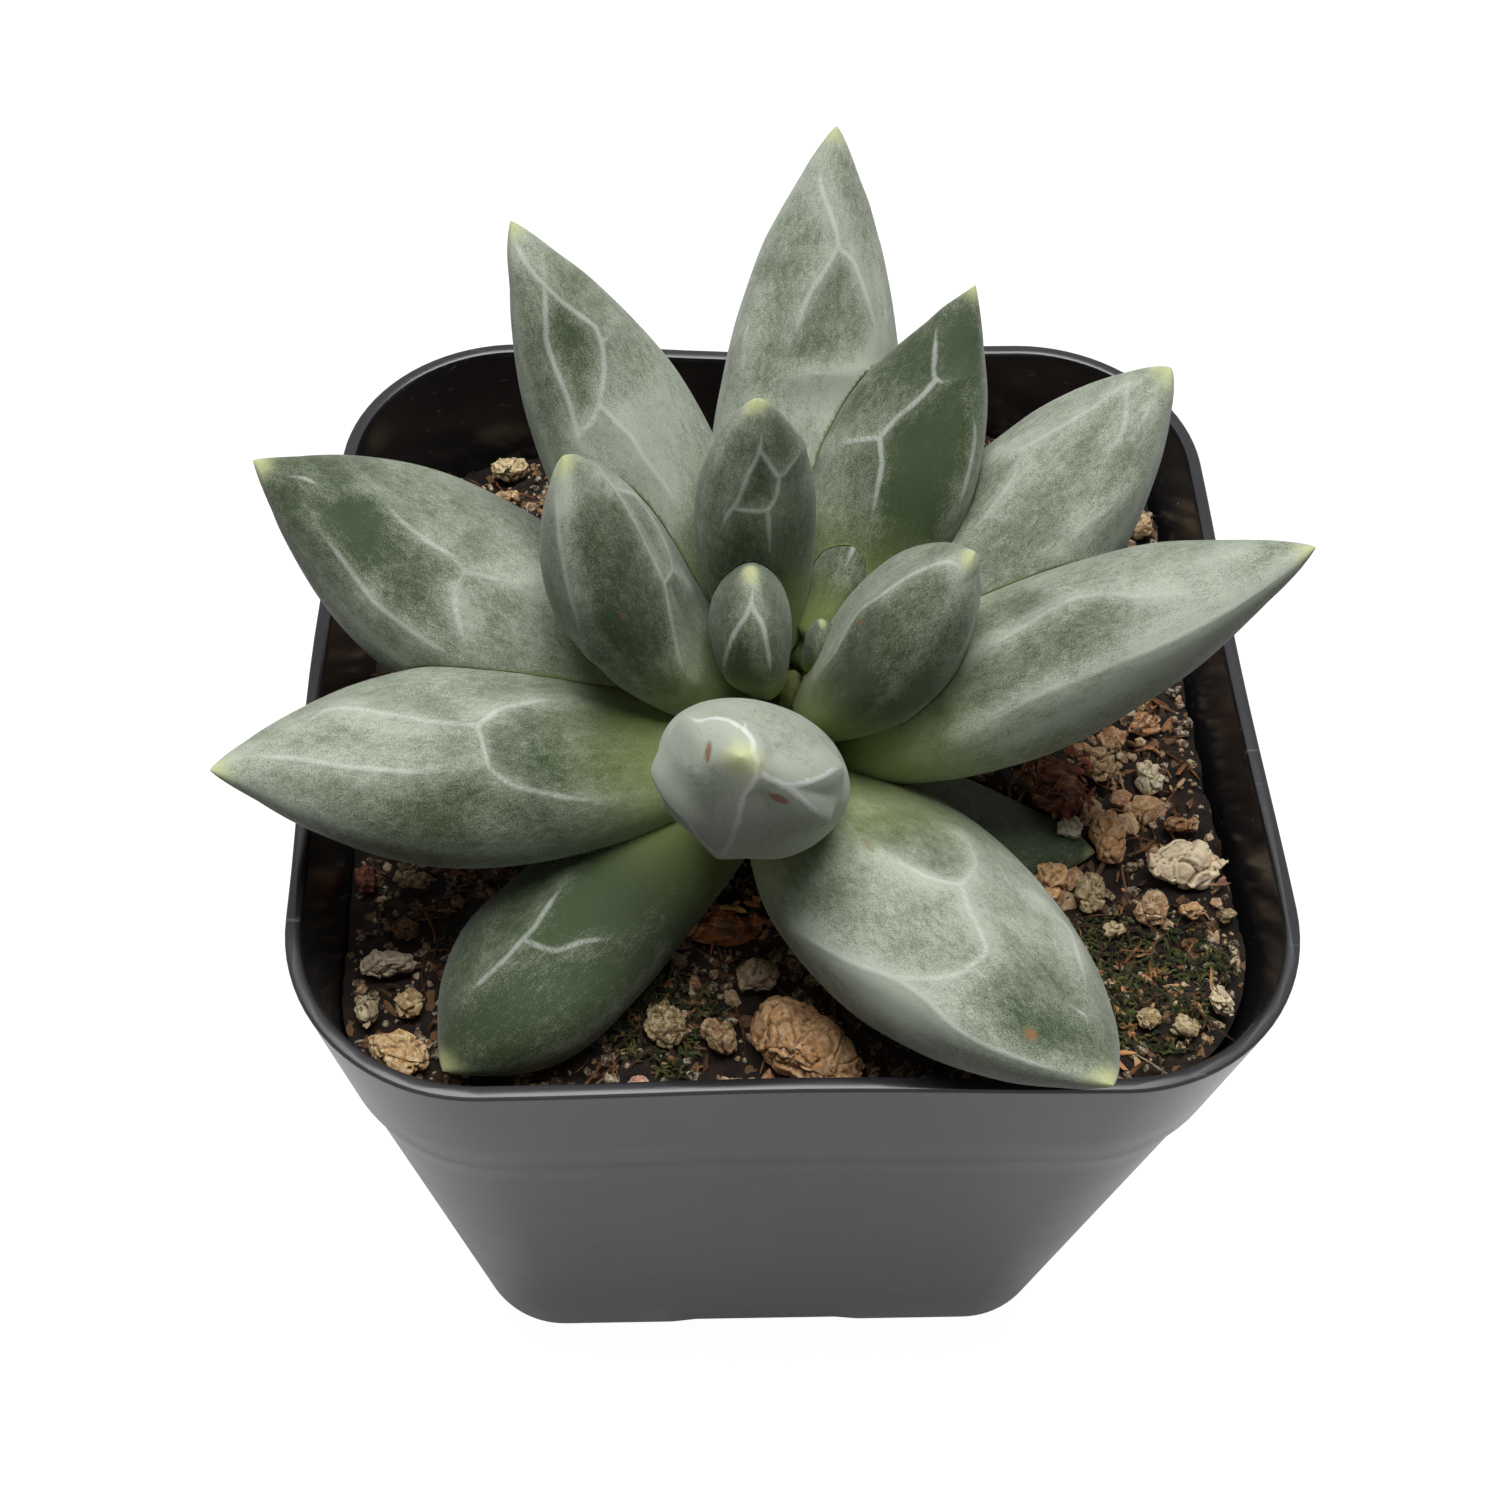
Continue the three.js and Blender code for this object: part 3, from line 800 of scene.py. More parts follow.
# ---- Litter on the soil ----
# What the soil's surface is strewn with: crumbs of clay and bark, coir fibres, splinters of
# bark and tufts of moss, all loose on top.
CRUMB_TONES = "2A1D12 1C140D 3A281A 33261A 4A3220 6B4A30 8B6A48 A98A64 5A4028 241A12".split()
LOOSE_GRIT_TONES = "8B6A48 A98A64 94603A B9A07A 6B4A30".split()
BIG_GRIT_TONES = "B98E5E C9A87C 9A683C D8C8A4 B07C50".split()
FIBRE_TONES = "8A5A34 6B4226 9A7048 4A2F1C 3A2416 5A3A22".split()
DRY_BARK_TONES = "9A7048 B08058 6B4226 C09A74".split()
MOSS_TONES = "3E4522 4E5628 2C331A 5E6636".split()
# What frays off two of the bark chips: the chip's number, how many splinters, and their tones.
FRAYED_CHIPS = (
    (1, 70, "5A2A1A 7A3C26 8A5030".split()),
    (3, 70, "A86A3C 8A4E2A C98A56 D6A06A".split()),
)
# Three pale splinters that lie apart: across and along in millimetres, length and tone.
LONE_SPLINTERS = ((24.5, -30.2, 5.0, "D9C7AC"), (-18, -30.5, 3.4, "C9A888"), (31.5, -16, 2.2, "B98A70"))
chance = random.Random(5)


def inside_soil(x, y, margin):
    """True where a place lies on the soil, at least margin from the pot's wall."""
    half = soil_half - margin
    over_x = abs(x) - (soil_half - soil_corner)
    over_y = abs(y) - (soil_half - soil_corner)
    if abs(x) > half or abs(y) > half:
        return False
    return over_x < 0 or over_y < 0 or math.hypot(over_x, over_y) < soil_corner - margin


def strewn(count, margin, room, keep=lambda x, y: True):
    """Places on open soil, chosen at random; room is the air that a piece needs above it."""
    places = []
    while len(places) < count:
        x = chance.uniform(-soil_half, soil_half)
        y = chance.uniform(-soil_half, soil_half)
        if not inside_soil(x, y, margin) or not keep(x, y):
            continue
        x += POT_X
        y += POT_Y
        z = crumbled(x, y)
        if underside(x, y) > z + room:
            places.append(Vector((x, y, z)))
    return places


def joined_mesh(name, shapes, material):
    """One piece made of many small closed shapes, each given as points, faces and a colour."""
    points, faces, tones = [], [], []
    for shape_points, shape_faces, tone in shapes:
        start = len(points)
        points += shape_points
        faces += [[start + i for i in face] for face in shape_faces]
        tones += [linear(int(tone, 16))] * len(shape_points)
    mesh = bpy.data.meshes.new(name)
    mesh.from_pydata([tuple(p) for p in points], [], faces)
    piece = bpy.data.objects.new(name, mesh)
    bpy.context.collection.objects.link(piece)
    colours = mesh.attributes.new("clay", "FLOAT_COLOR", "POINT")
    colours.data.foreach_set("color", np.array(tones, np.float32).ravel())
    mesh.materials.append(material)
    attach(piece, "root")
    return piece


deselect()
bpy.ops.mesh.primitive_ico_sphere_add(subdivisions=1, radius=1)
crumb_form = bpy.context.object
crumb_points = [v.co.copy() for v in crumb_form.data.vertices]
crumb_faces = [list(face.vertices) for face in crumb_form.data.polygons]
bpy.data.objects.remove(crumb_form)


def crumb(place, size, tone):
    """A rough crumb resting on the soil."""
    spin = Matrix.Rotation(chance.uniform(0, 6.28), 3, "Z")
    turn = spin @ Matrix.Rotation(chance.uniform(-0.6, 0.6), 3, "X")
    stretch = Vector((chance.uniform(0.7, 1.3), chance.uniform(0.6, 1.0), chance.uniform(0.5, 0.9)))
    points = []
    for point in crumb_points:
        swell = chance.uniform(0.75, 1.15)
        points.append(place + turn @ Vector(a * b * swell * size for a, b in zip(point, stretch)))
    return points, crumb_faces, tone


def fibre(place, length, thick, tone, lift):
    """A thin bent fibre, three-sided, lying or standing a little off the soil."""
    heading = chance.uniform(0, 2 * math.pi)
    bend = chance.uniform(-1.2, 1.2)
    spots = []
    here = place + Vector((0, 0, thick))
    for step in range(6):
        turn = heading + bend * step / 5
        spots.append(here.copy())
        hop = length / 5
        rise = lift * math.cos(math.pi * step / 5)
        here = here + Vector((math.cos(turn), math.sin(turn), rise)).normalized() * hop
    points, faces = [], []
    for step, spot in enumerate(spots):
        thin = thick * (0.35 if step in (0, 5) else 1.0)
        across = Vector((-math.sin(heading), math.cos(heading), 0))
        points += [spot + across * thin, spot - across * thin, spot + Vector((0, 0, thin * 1.4))]
    for step in range(5):
        a = 3 * step
        for i, j in ((0, 2), (2, 1), (1, 0)):
            faces.append([a + i, a + j, a + 3 + j, a + 3 + i])
    faces.append([0, 1, 2])
    faces.append([17, 16, 15])
    return points, faces, tone


def splinter(place, length, tone):
    """A flat splinter of bark, lying as it fell."""
    turn = (
        Matrix.Rotation(chance.uniform(0, 6.28), 3, "Z")
        @ Matrix.Rotation(chance.uniform(-0.7, 0.7), 3, "Y")
        @ Matrix.Rotation(chance.uniform(-1.2, 1.2), 3, "X")
    )
    size = Vector((length / 2, chance.uniform(0.14, 0.4) * MM, chance.uniform(0.07, 0.16) * MM))
    points = []
    for point in crumb_points:
        swell = chance.uniform(0.7, 1.2)
        shape = Vector(a * b * swell for a, b in zip(point, size))
        points.append(place + Vector((0, 0, 0.15 * MM)) + turn @ shape)
    return points, crumb_faces, tone


crumbs = [
    crumb(place, chance.choice((0.18, 0.22, 0.28, 0.35, 0.45, 0.6)) * MM, chance.choice(CRUMB_TONES))
    for place in strewn(4500, 0.6 * MM, 0.8 * MM)
]
crumbs += [
    crumb(place, chance.uniform(0.5, 0.95) * MM, chance.choice(LOOSE_GRIT_TONES))
    for place in strewn(130, 1.2 * MM, 1.4 * MM)
]
crumbs += [
    crumb(place, chance.uniform(0.9, 1.4) * MM, chance.choice(BIG_GRIT_TONES))
    for place in strewn(46, 2.4 * MM, 2.2 * MM, lambda x, y: x > 6 * MM and y > -17 * MM)
]
joined_mesh("soil_crumbs", crumbs, baked_clay)
fibres = [
    fibre(
        place,
        chance.uniform(1.2, 4.5) * MM,
        chance.uniform(0.05, 0.13) * MM,
        chance.choice(FIBRE_TONES),
        0.3,
    )
    for place in strewn(1100, 2.6 * MM, 1.6 * MM)
]
joined_mesh("coir_fibres", fibres, pine_bark)
splinters = [
    splinter(place, chance.uniform(0.9, 2.4) * MM, chance.choice(FIBRE_TONES))
    for place in strewn(620, 1.4 * MM, 1.2 * MM)
]
splinters += [
    splinter(place, chance.uniform(1.2, 2.6) * MM, chance.choice(DRY_BARK_TONES))
    for place in strewn(110, 1.6 * MM, 1.4 * MM, lambda x, y: x > 18 * MM and y < 4 * MM)
]
for number, count, tone_names in FRAYED_CHIPS:
    low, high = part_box(f"bark_{number:02d}")
    for _ in range(count):
        spot = Vector(chance.uniform(a, b) for a, b in zip(low, high))
        spot.z = chance.uniform((low.z + high.z) / 2, high.z)
        splinters.append(splinter(spot, chance.uniform(0.8, 2.0) * MM, chance.choice(tone_names)))
for across, along, length, tone in LONE_SPLINTERS:
    x = POT_X + across * MM
    y = POT_Y + along * MM
    spot = Vector((x, y, crumbled(x, y) + 0.8 * MM))
    splinters += [splinter(spot, length * MM, tone), splinter(spot, length * 0.8 * MM, tone)]
joined_mesh("bark_splinters", splinters, pine_bark)


def mossy(x, y):
    """Where moss grows: the damp front right corner, and the front beside the middle."""
    right = math.hypot((x / MM - 25) / 7, (y / MM + 23) / 6)
    front = math.hypot((x / MM + 9) / 4, (y / MM + 25) / 4)
    return min(right, front) < 1 + 0.3 * noise.noise(Vector((x, y, 0)) / (2 * MM))


moss = [
    fibre(
        place,
        chance.uniform(0.5, 1.3) * MM,
        chance.uniform(0.06, 0.12) * MM,
        chance.choice(MOSS_TONES),
        1.2,
    )
    for place in strewn(1300, 1.2 * MM, 1.0 * MM, mossy)
]
joined_mesh("moss_tufts", moss, pine_bark)


# ---- Stem ----
# A short green stem that the leaves spring from, ringed with the scars of old leaves.
STEM_X = POT_X + 0.3 * MM
STEM_Y = POT_Y - 3 * MM
stem_low, stem_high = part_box("stem")
STEM_MIDDLE = (STEM_X, STEM_Y, (stem_low.z + stem_high.z) / 2)


def stem_radius(z):
    """Radius of the stem at a height: it narrows upwards to a rounded end."""
    share = (z - stem_low.z) / (stem_high.z - stem_low.z)
    dome = math.sqrt(max(0.0, 1 - (max(0.0, share - 0.8) / 0.2) ** 2))
    return (3.0 - 2.0 * share) * MM * max(dome, 0.05)


deselect()
bpy.ops.mesh.primitive_cylinder_add(
    vertices=48, radius=1, depth=stem_high.z - stem_low.z, location=STEM_MIDDLE
)
stem = bpy.context.object
stem.name = "short_stem"
bpy.ops.object.transform_apply(location=True, rotation=True, scale=True)
bpy.ops.object.mode_set(mode="EDIT")
bpy.ops.mesh.select_all(action="SELECT")
for height in np.linspace(stem_low.z, stem_high.z, 61)[1:-1]:
    bpy.ops.mesh.select_all(action="SELECT")
    bpy.ops.mesh.bisect(plane_co=(STEM_X, STEM_Y, height), plane_no=(0, 0, 1))
bpy.ops.object.mode_set(mode="OBJECT")
for vertex in stem.data.vertices:
    ring = 0.06 * MM * math.sin(vertex.co.z / (0.45 * MM))
    bump = 0.08 * MM * noise.noise(vertex.co / (0.9 * MM))
    away = Vector((vertex.co.x - STEM_X, vertex.co.y - STEM_Y)).normalized()
    reach = max(stem_radius(vertex.co.z) - 0.1 * MM + ring + bump, 0.02 * MM)
    vertex.co.x = STEM_X + away.x * reach
    vertex.co.y = STEM_Y + away.y * reach
bpy.ops.object.shade_smooth_by_angle(angle=math.radians(50))

stem_skin, shader = new_material("green_stem_skin")
place = add_node(stem_skin, "ShaderNodeTexCoord").outputs["Object"]
mottle = add_node(stem_skin, "ShaderNodeTexNoise", {"Vector": place, "Scale": 700.0, "Detail": 5.0})
stem_tint = add_node(stem_skin, "ShaderNodeValToRGB", {"Fac": mottle.outputs["Fac"]})
stem_tint.color_ramp.elements[0].position = 0.4
stem_tint.color_ramp.elements[0].color = linear(0x6E7A45)
stem_tint.color_ramp.elements[1].position = 0.65
stem_tint.color_ramp.elements[1].color = linear(0x9A9A6A)
rings_relief = add_node(
    stem_skin, "ShaderNodeBump", {"Height": mottle.outputs["Fac"], "Strength": 0.5, "Distance": 0.1 * MM}
)
set_inputs(
    stem_skin,
    shader,
    {
        "Base Color": stem_tint.outputs[0],
        "Normal": rings_relief.outputs[0],
        "Roughness": 0.65,
    },
)
finish_in(stem, stem_skin)
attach(stem, "root")
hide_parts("stem")


# ---- Leaves ----
# Seventeen plump leaves, grown in a spiral round the stem. Where each lay pressed against its
# neighbours in the bud it keeps flat faces, with pale raised lines of thicker wax between them.

# name: heading and rise in degrees; length, width, thickness; roll in degrees; how far the
# middle hangs; the base's distance from the stem and height above the soil; where it is widest;
# how pointed it is; and how much of its wax bloom is left.
LEAVES = {
    "leaf_01": (0, 82, 5.4, 3.0, 2.3, 0, 0.3, 1.0, 12.9, 0.5, 0.8, 0.15),
    "leaf_02": (54, 36, 11.8, 4.6, 3.4, 10, -0.5, 1.7, 14.2, 0.45, 1.0, 0.12),
    "leaf_03": (200, 83, 13.2, 8.5, 6.4, 19, 0.3, 2.1, 12.1, 0.5, 0.8, 0.25),
    "leaf_04": (126, 82.5, 23.8, 9.5, 7.1, 6, 1.0, 2.5, 11.8, 0.55, 0.75, 0.35),
    "leaf_05": (-20, 65.5, 23.6, 12.4, 9.1, -7, 0.4, 1.7, 8.5, 0.5, 0.87, 0.45),
    "leaf_06": (176, 64, 28.3, 12.9, 9.2, 4, 2.3, 3.4, 8.2, 0.55, 0.82, 0.42),
    "leaf_07": (257, 52, 30.2, 13.5, 10.9, 8, 1.7, 3.0, 7.7, 0.62, 0.79, 0.88),
    "leaf_08": (55.5, 49.5, 30.7, 12.7, 9.7, -2, 0.3, 2.3, 9.5, 0.48, 1.0, 0.36),
    "leaf_09": (138.5, 55, 39.6, 13.2, 9.9, 2, 0.2, 3.2, 6.8, 0.5, 0.9, 0.55),
    "leaf_10": (84, 51.5, 41.2, 14.7, 11.2, -11, 1.8, 2.9, 6.2, 0.42, 0.84, 0.65),
    "leaf_11": (200.5, 23, 40.8, 16.0, 11.5, 2, 0.6, 3.7, 5.0, 0.52, 0.89, 0.6),
    "leaf_12": (168.5, 32.5, 41.3, 16.6, 12.5, 4, 1.9, 3.4, 4.2, 0.56, 0.9, 0.55),
    "leaf_13": (-11.5, 45, 40.6, 14.7, 10.9, 3, 0, 3.7, 4.7, 0.4, 0.84, 0.6),
    "leaf_14": (25, 46, 36.8, 14.9, 11.3, -1, 1.2, 3.0, 4.5, 0.5, 0.73, 0.6),
    "leaf_15": (296, 23, 40.3, 20.0, 12.6, 20, 1.5, 3.1, 2.5, 0.4, 0.81, 0.55),
    # leaf_16 and leaf_17 lie low in the shade of the others: their least bloom gives them a darker green of
    # thin wax and also paints in that shade.
    "leaf_16": (227, -3, 32, 13.6, 10.2, -8, -1.0, 4.4, 3.5, 0.68, 0.82, -0.06),
    "leaf_17": (338, -6, 22, 10.6, 8.0, 20, 3.0, 2.8, 4.2, 0.5, 0.81, 0.0),
}

# The pressed lines of each leaf: strokes through places on its skin, each a share of the
# leaf's length and an angle round it, 90 on the middle of its upper face.
PRESSED_LINES = {
    "leaf_02": [
        [(0.91, 135), (0.75, 100), (0.61, 50), (0.42, 60)],
        [(0.75, 100), (0.6, 110), (0.44, 115)],
    ],
    "leaf_03": [
        [(0.99, 15), (0.9, 355), (0.77, 330), (0.57, 320), (0.25, 310)],
        [(0.9, 355), (0.82, 20), (0.64, 20), (0.4, 20)],
    ],
    "leaf_04": [
        [(0.96, 85), (0.87, 75), (0.81, 60), (0.72, 50), (0.68, 40), (0.57, 30)],
        [(0.87, 75), (0.83, 85), (0.76, 95), (0.79, 120), (0.79, 150)],
        [(0.76, 95), (0.71, 90), (0.67, 80), (0.7, 50)],
        [(0.67, 80), (0.58, 80), (0.46, 80)],
    ],
    "leaf_05": [
        [(0.99, 180), (0.94, 95), (0.83, 95), (0.71, 100), (0.61, 100), (0.48, 115), (0.29, 120)],
        [(0.92, 230), (0.83, 235), (0.75, 225), (0.69, 220)],
    ],
    "leaf_06": [
        [(0.97, 330), (0.92, 345), (0.82, 350), (0.69, 350), (0.53, 340)],
        [(0.94, 115), (0.85, 100), (0.78, 90), (0.68, 80), (0.58, 75), (0.49, 60), (0.39, 45), (0.3, 40)],
        [(0.84, 100), (0.76, 115), (0.69, 110), (0.6, 100), (0.56, 90), (0.58, 75)],
        [(0.56, 90), (0.46, 95)],
    ],
    "leaf_07": [
        [(0.9, 100), (0.94, 100), (0.985, 60), (0.98, 344)],
        [(0.98, 344), (0.953, 288), (0.867, 279), (0.724, 270), (0.62, 266)],
        [(0.969, 340), (0.924, 350), (0.841, 346), (0.741, 346)],
        [(0.94, 100), (0.886, 129), (0.88, 146), (0.8, 150)],
        [(0.72, 200), (0.773, 212), (0.82, 243), (0.724, 270)],
        [(0.924, 350), (0.86, 12), (0.79, 25), (0.7, 30)],
    ],
    "leaf_08": [
        [(0.92, 50), (0.84, 85), (0.77, 100), (0.81, 135)],
        [(0.61, 80), (0.67, 85), (0.73, 95), (0.77, 100)],
        [(0.61, 80), (0.57, 60), (0.52, 40)],
        [(0.61, 80), (0.56, 90), (0.48, 95), (0.41, 100)],
        [(0.77, 140), (0.7, 155), (0.58, 155), (0.49, 155)],
    ],
    "leaf_09": [
        [(0.98, 30), (0.96, 50), (0.92, 60), (0.89, 70), (0.83, 85), (0.79, 95), (0.76, 90)],
        [(0.76, 90), (0.72, 80), (0.68, 65), (0.66, 55), (0.65, 40), (0.62, 35)],
        [(0.76, 90), (0.77, 115)],
        [(0.89, 70), (0.85, 55), (0.81, 45), (0.76, 45), (0.7, 45), (0.65, 40)],
        [(0.68, 65), (0.64, 70), (0.6, 75), (0.56, 75), (0.49, 80), (0.42, 80)],
    ],
    "leaf_10": [
        [(0.93, 55), (0.91, 65), (0.86, 85), (0.82, 95), (0.8, 95)],
        [(0.8, 95), (0.76, 85), (0.72, 75), (0.67, 70), (0.64, 65)],
        [(0.8, 95), (0.78, 110), (0.73, 120), (0.69, 125), (0.65, 130)],
        [(0.79, 145), (0.68, 140), (0.65, 140)],
        [(0.7, 30), (0.64, 30), (0.58, 30)],
        [(0.58, 70), (0.59, 85), (0.59, 110)],
    ],
    "leaf_11": [
        [(0.9, 100), (0.81, 120), (0.78, 115), (0.72, 100), (0.66, 90), (0.58, 85)],
        [(0.58, 85), (0.53, 95), (0.45, 100), (0.37, 100)],
        [(0.58, 85), (0.58, 60), (0.54, 50), (0.43, 40), (0.34, 35)],
        [(0.96, 95), (0.91, 80), (0.82, 65), (0.72, 60), (0.6, 60)],
    ],
    "leaf_12": [
        [(0.96, 70), (0.92, 85), (0.86, 80)],
        [(0.82, 100), (0.76, 85), (0.7, 80), (0.65, 80), (0.62, 75), (0.57, 80), (0.51, 85)],
        [(0.62, 75), (0.62, 60), (0.58, 45), (0.54, 35)],
        [(0.88, 45), (0.82, 40), (0.73, 30), (0.67, 30), (0.61, 30), (0.56, 30)],
    ],
    "leaf_13": [
        [(0.41, 110), (0.51, 105), (0.57, 100), (0.62, 95), (0.68, 100), (0.73, 110), (0.78, 120)],
        [(0.83, 90), (0.89, 80)],
        [(0.54, 65), (0.6, 90)],
        [(0.35, 160), (0.54, 150), (0.69, 155), (0.78, 160), (0.87, 165), (0.96, 170)],
    ],
    "leaf_14": [
        [(0.65, 55), (0.7, 70), (0.77, 75), (0.86, 80), (0.93, 75)],
        [(0.49, 90), (0.57, 90), (0.65, 85), (0.7, 75)],
        [(0.93, 75), (0.89, 110), (0.86, 120), (0.82, 120), (0.77, 130)],
        [(0.96, 125), (0.91, 130), (0.86, 130)],
        [(0.81, 160), (0.73, 145), (0.68, 140), (0.62, 140)],
    ],
    "leaf_15": [
        [(0.42, 115), (0.48, 110), (0.53, 105), (0.56, 95), (0.51, 80), (0.46, 75), (0.39, 70)],
        [(0.56, 95), (0.61, 100), (0.68, 105), (0.72, 110), (0.74, 130), (0.72, 145), (0.67, 160)],
        [(0.67, 160), (0.58, 170), (0.5, 175), (0.42, 185)],
        [(0.67, 160), (0.73, 160), (0.79, 170), (0.84, 175), (0.92, 175), (0.95, 170)],
        [(0.58, 55), (0.66, 50), (0.79, 60), (0.86, 70)],
        [(0.83, 100), (0.88, 80), (0.89, 75)],
    ],
    "leaf_16": [
        [(0.53, 100), (0.6, 95), (0.67, 90), (0.71, 90), (0.77, 90), (0.83, 95), (0.88, 105)],
        [(0.71, 90), (0.69, 70), (0.62, 60), (0.54, 40)],
    ],
}

# The pressed faces that kept the least wax, by their corners.
BARE_FACES = {
    "leaf_03": [
        [(0.9, 355), (0.77, 330), (0.57, 320), (0.25, 310), (0.1, 330), (0.1, 380), (0.64, 380),
         (0.82, 380)],
    ],
    "leaf_04": [[(0.87, 75), (0.83, 85), (0.76, 95), (0.71, 90), (0.67, 80), (0.7, 50), (0.81, 60)]],
    "leaf_05": [
        [(0.94, 100), (0.83, 95), (0.71, 100), (0.61, 100), (0.48, 115), (0.29, 120), (0.2, 225),
         (0.69, 220), (0.75, 225), (0.83, 235), (0.92, 230)],
    ],
    "leaf_06": [
        [(0.92, 60), (0.85, 98), (0.78, 90), (0.68, 80), (0.58, 75), (0.49, 60), (0.39, 45), (0.3, 40),
         (0.3, -20), (0.53, -20), (0.69, -10), (0.82, -10), (0.92, -15)],
    ],
    "leaf_08": [
        [(0.3, 105), (0.41, 100), (0.48, 95), (0.56, 90), (0.61, 80), (0.67, 85), (0.73, 95), (0.77, 100),
         (0.79, 125), (0.77, 140), (0.7, 155), (0.58, 155), (0.3, 150)],
    ],
    "leaf_09": [
        [(0.89, 70), (0.85, 55), (0.81, 45), (0.7, 45), (0.65, 40), (0.68, 65), (0.76, 90), (0.79, 95),
         (0.83, 85)],
    ],
    "leaf_10": [
        [(0.8, 95), (0.76, 85), (0.72, 75), (0.67, 70), (0.64, 65), (0.58, 70), (0.59, 85), (0.59, 110),
         (0.65, 130), (0.69, 125), (0.73, 120), (0.78, 110)],
    ],
    "leaf_11": [
        [(0.58, 85), (0.53, 95), (0.45, 100), (0.15, 100), (0.15, 35), (0.34, 35), (0.43, 40), (0.54, 50),
         (0.58, 60)],
    ],
    "leaf_12": [
        [(0.82, 100), (0.76, 85), (0.7, 80), (0.65, 80), (0.62, 75), (0.62, 60), (0.58, 45), (0.56, 30),
         (0.67, 30), (0.73, 30), (0.82, 40), (0.88, 45), (0.86, 80)],
    ],
    "leaf_13": [
        [(0.3, 112), (0.51, 105), (0.57, 100), (0.62, 95), (0.68, 100), (0.73, 110), (0.78, 122),
         (0.74, 150), (0.54, 148), (0.3, 150)],
        [(0.36, 100), (0.5, 98), (0.58, 92), (0.54, 68), (0.4, 70)],
    ],
    "leaf_14": [[(0.49, 90), (0.57, 90), (0.65, 85), (0.7, 75), (0.65, 55), (0.45, 50), (0.3, 70)]],
    "leaf_15": [
        [(0.53, 104), (0.56, 95), (0.51, 80), (0.46, 75), (0.3, 75), (0.3, 118), (0.42, 115),
         (0.48, 110)],
        [(0.56, 95), (0.61, 100), (0.68, 105), (0.72, 110), (0.74, 130), (0.72, 145), (0.67, 160),
         (0.58, 168), (0.42, 165), (0.42, 116), (0.53, 105)],
    ],
    "leaf_16": [
        [(0.71, 90), (0.69, 70), (0.62, 60), (0.54, 40), (0.3, 40), (0.3, 105), (0.53, 100), (0.6, 95),
         (0.67, 90)],
    ],
}
# Soft patches of thicker wax, or thinner where less than none: share of the leaf's length, angle
# round it, radius in millimetres, and how much.
WAX_PATCHES = {
    "leaf_03": [(0.5, 350, 6, -0.35)],
    "leaf_04": [(0.45, 80, 8, -0.4), (0.85, 80, 5, -0.25)],
    "leaf_05": [(0.5, 170, 8, -0.4), (0.75, 60, 3, 0.15)],
    "leaf_06": [(0.6, 30, 8, -0.22), (0.9, 140, 5, 0.2)],
    "leaf_07": [(0.8, 170, 6, 0.25), (0.65, 10, 6, 0.2), (0.7, 270, 8, 0.2)],
    "leaf_08": [(0.87, 98, 9, -0.6), (0.54, 105, 8, -0.35), (0.45, 50, 5, 0.15)],
    "leaf_09": [(0.58, 98, 8, 0.4), (0.79, 56, 7, -0.45), (0.5, 30, 6, 0.15)],
    "leaf_10": [(0.56, 128, 8, 0.45), (0.7, 66, 7, -0.15), (0.45, 60, 8, 0.2)],
    "leaf_11": [(0.7, 18, 8, -0.5), (0.45, 25, 8, -0.4), (0.3, 70, 6, -0.2), (0.75, 90, 7, 0.1)],
    "leaf_12": [(0.9, 60, 10, -0.6), (0.5, 90, 7, 0.15)],
    "leaf_13": [(0.8, 110, 8, 0.05), (0.7, 195, 8, 0.25), (0.85, 180, 6, 0.15)],
    "leaf_14": [(0.92, 110, 7, -0.1), (0.6, 50, 5, -0.12)],
    "leaf_15": [(0.55, 125, 10, 0.4), (0.86, 115, 7, -0.5), (0.7, 182, 6, 0.35), (0.6, 60, 6, 0.25)],
    "leaf_16": [(0.8, 100, 6, 0.05)],
}
# How strongly the pressed lines show, where they differ from the others.
LINE_WAX = {
    "leaf_02": 0.5,
    "leaf_03": 0.65,
    "leaf_04": 0.5,
    "leaf_07": 1.5,
    "leaf_13": 0.36,
    "leaf_14": 0.3,
    "leaf_16": 0.4,
}
# How deep the pressed faces of a leaf are, where they differ from the others.
PRESS_DEPTH = {"leaf_02": 0.7, "leaf_05": 1.4, "leaf_06": 1.4, "leaf_07": 1.9}

# Small marks: leaf, share of its length, angle round it, long and short radius in millimetres,
# turn in degrees, and depth of colour.
SCARS = {
    "leaf_07": [(0.935, 182, 0.9, 0.3, 80, 0.9), (0.91, 332, 0.9, 0.3, -20, 0.9)],
    "leaf_15": [(0.88, 138, 0.45, 0.35, 0, 0.9), (0.4, 116, 1.0, 0.2, 20, 0.5)],
    "leaf_05": [(0.61, 110, 0.3, 0.25, 0, 0.6)],
    "leaf_06": [(0.63, 30, 0.3, 0.25, 0, 0.6)],
}
FACE_HOLLOW = 0.36 * MM
LINE_REACH = 1.6 * MM
LINE_RISE = 0.06 * MM
LINE_WIDTH = 0.24 * MM
BARE_WAX = 0.24
END_FADE = 0.34 * MM
# The painted pale rim of light along each leaf's side margins: how much, and how wide.
RIM_LIGHT_PAINT = 0.32
RIM_LIGHT_WIDTH = 0.75 * MM
SKIN_WANDER = 0.12 * MM
PLAIN_LINE_WAX = 0.48
UPPER_SHARE = 0.45
LOWER_SHARE = 0.55
LONG_LEAF = 20
LONG_LEAF_RINGS = 176
SHORT_LEAF_RINGS = 96
FORMER_RINGS = 72


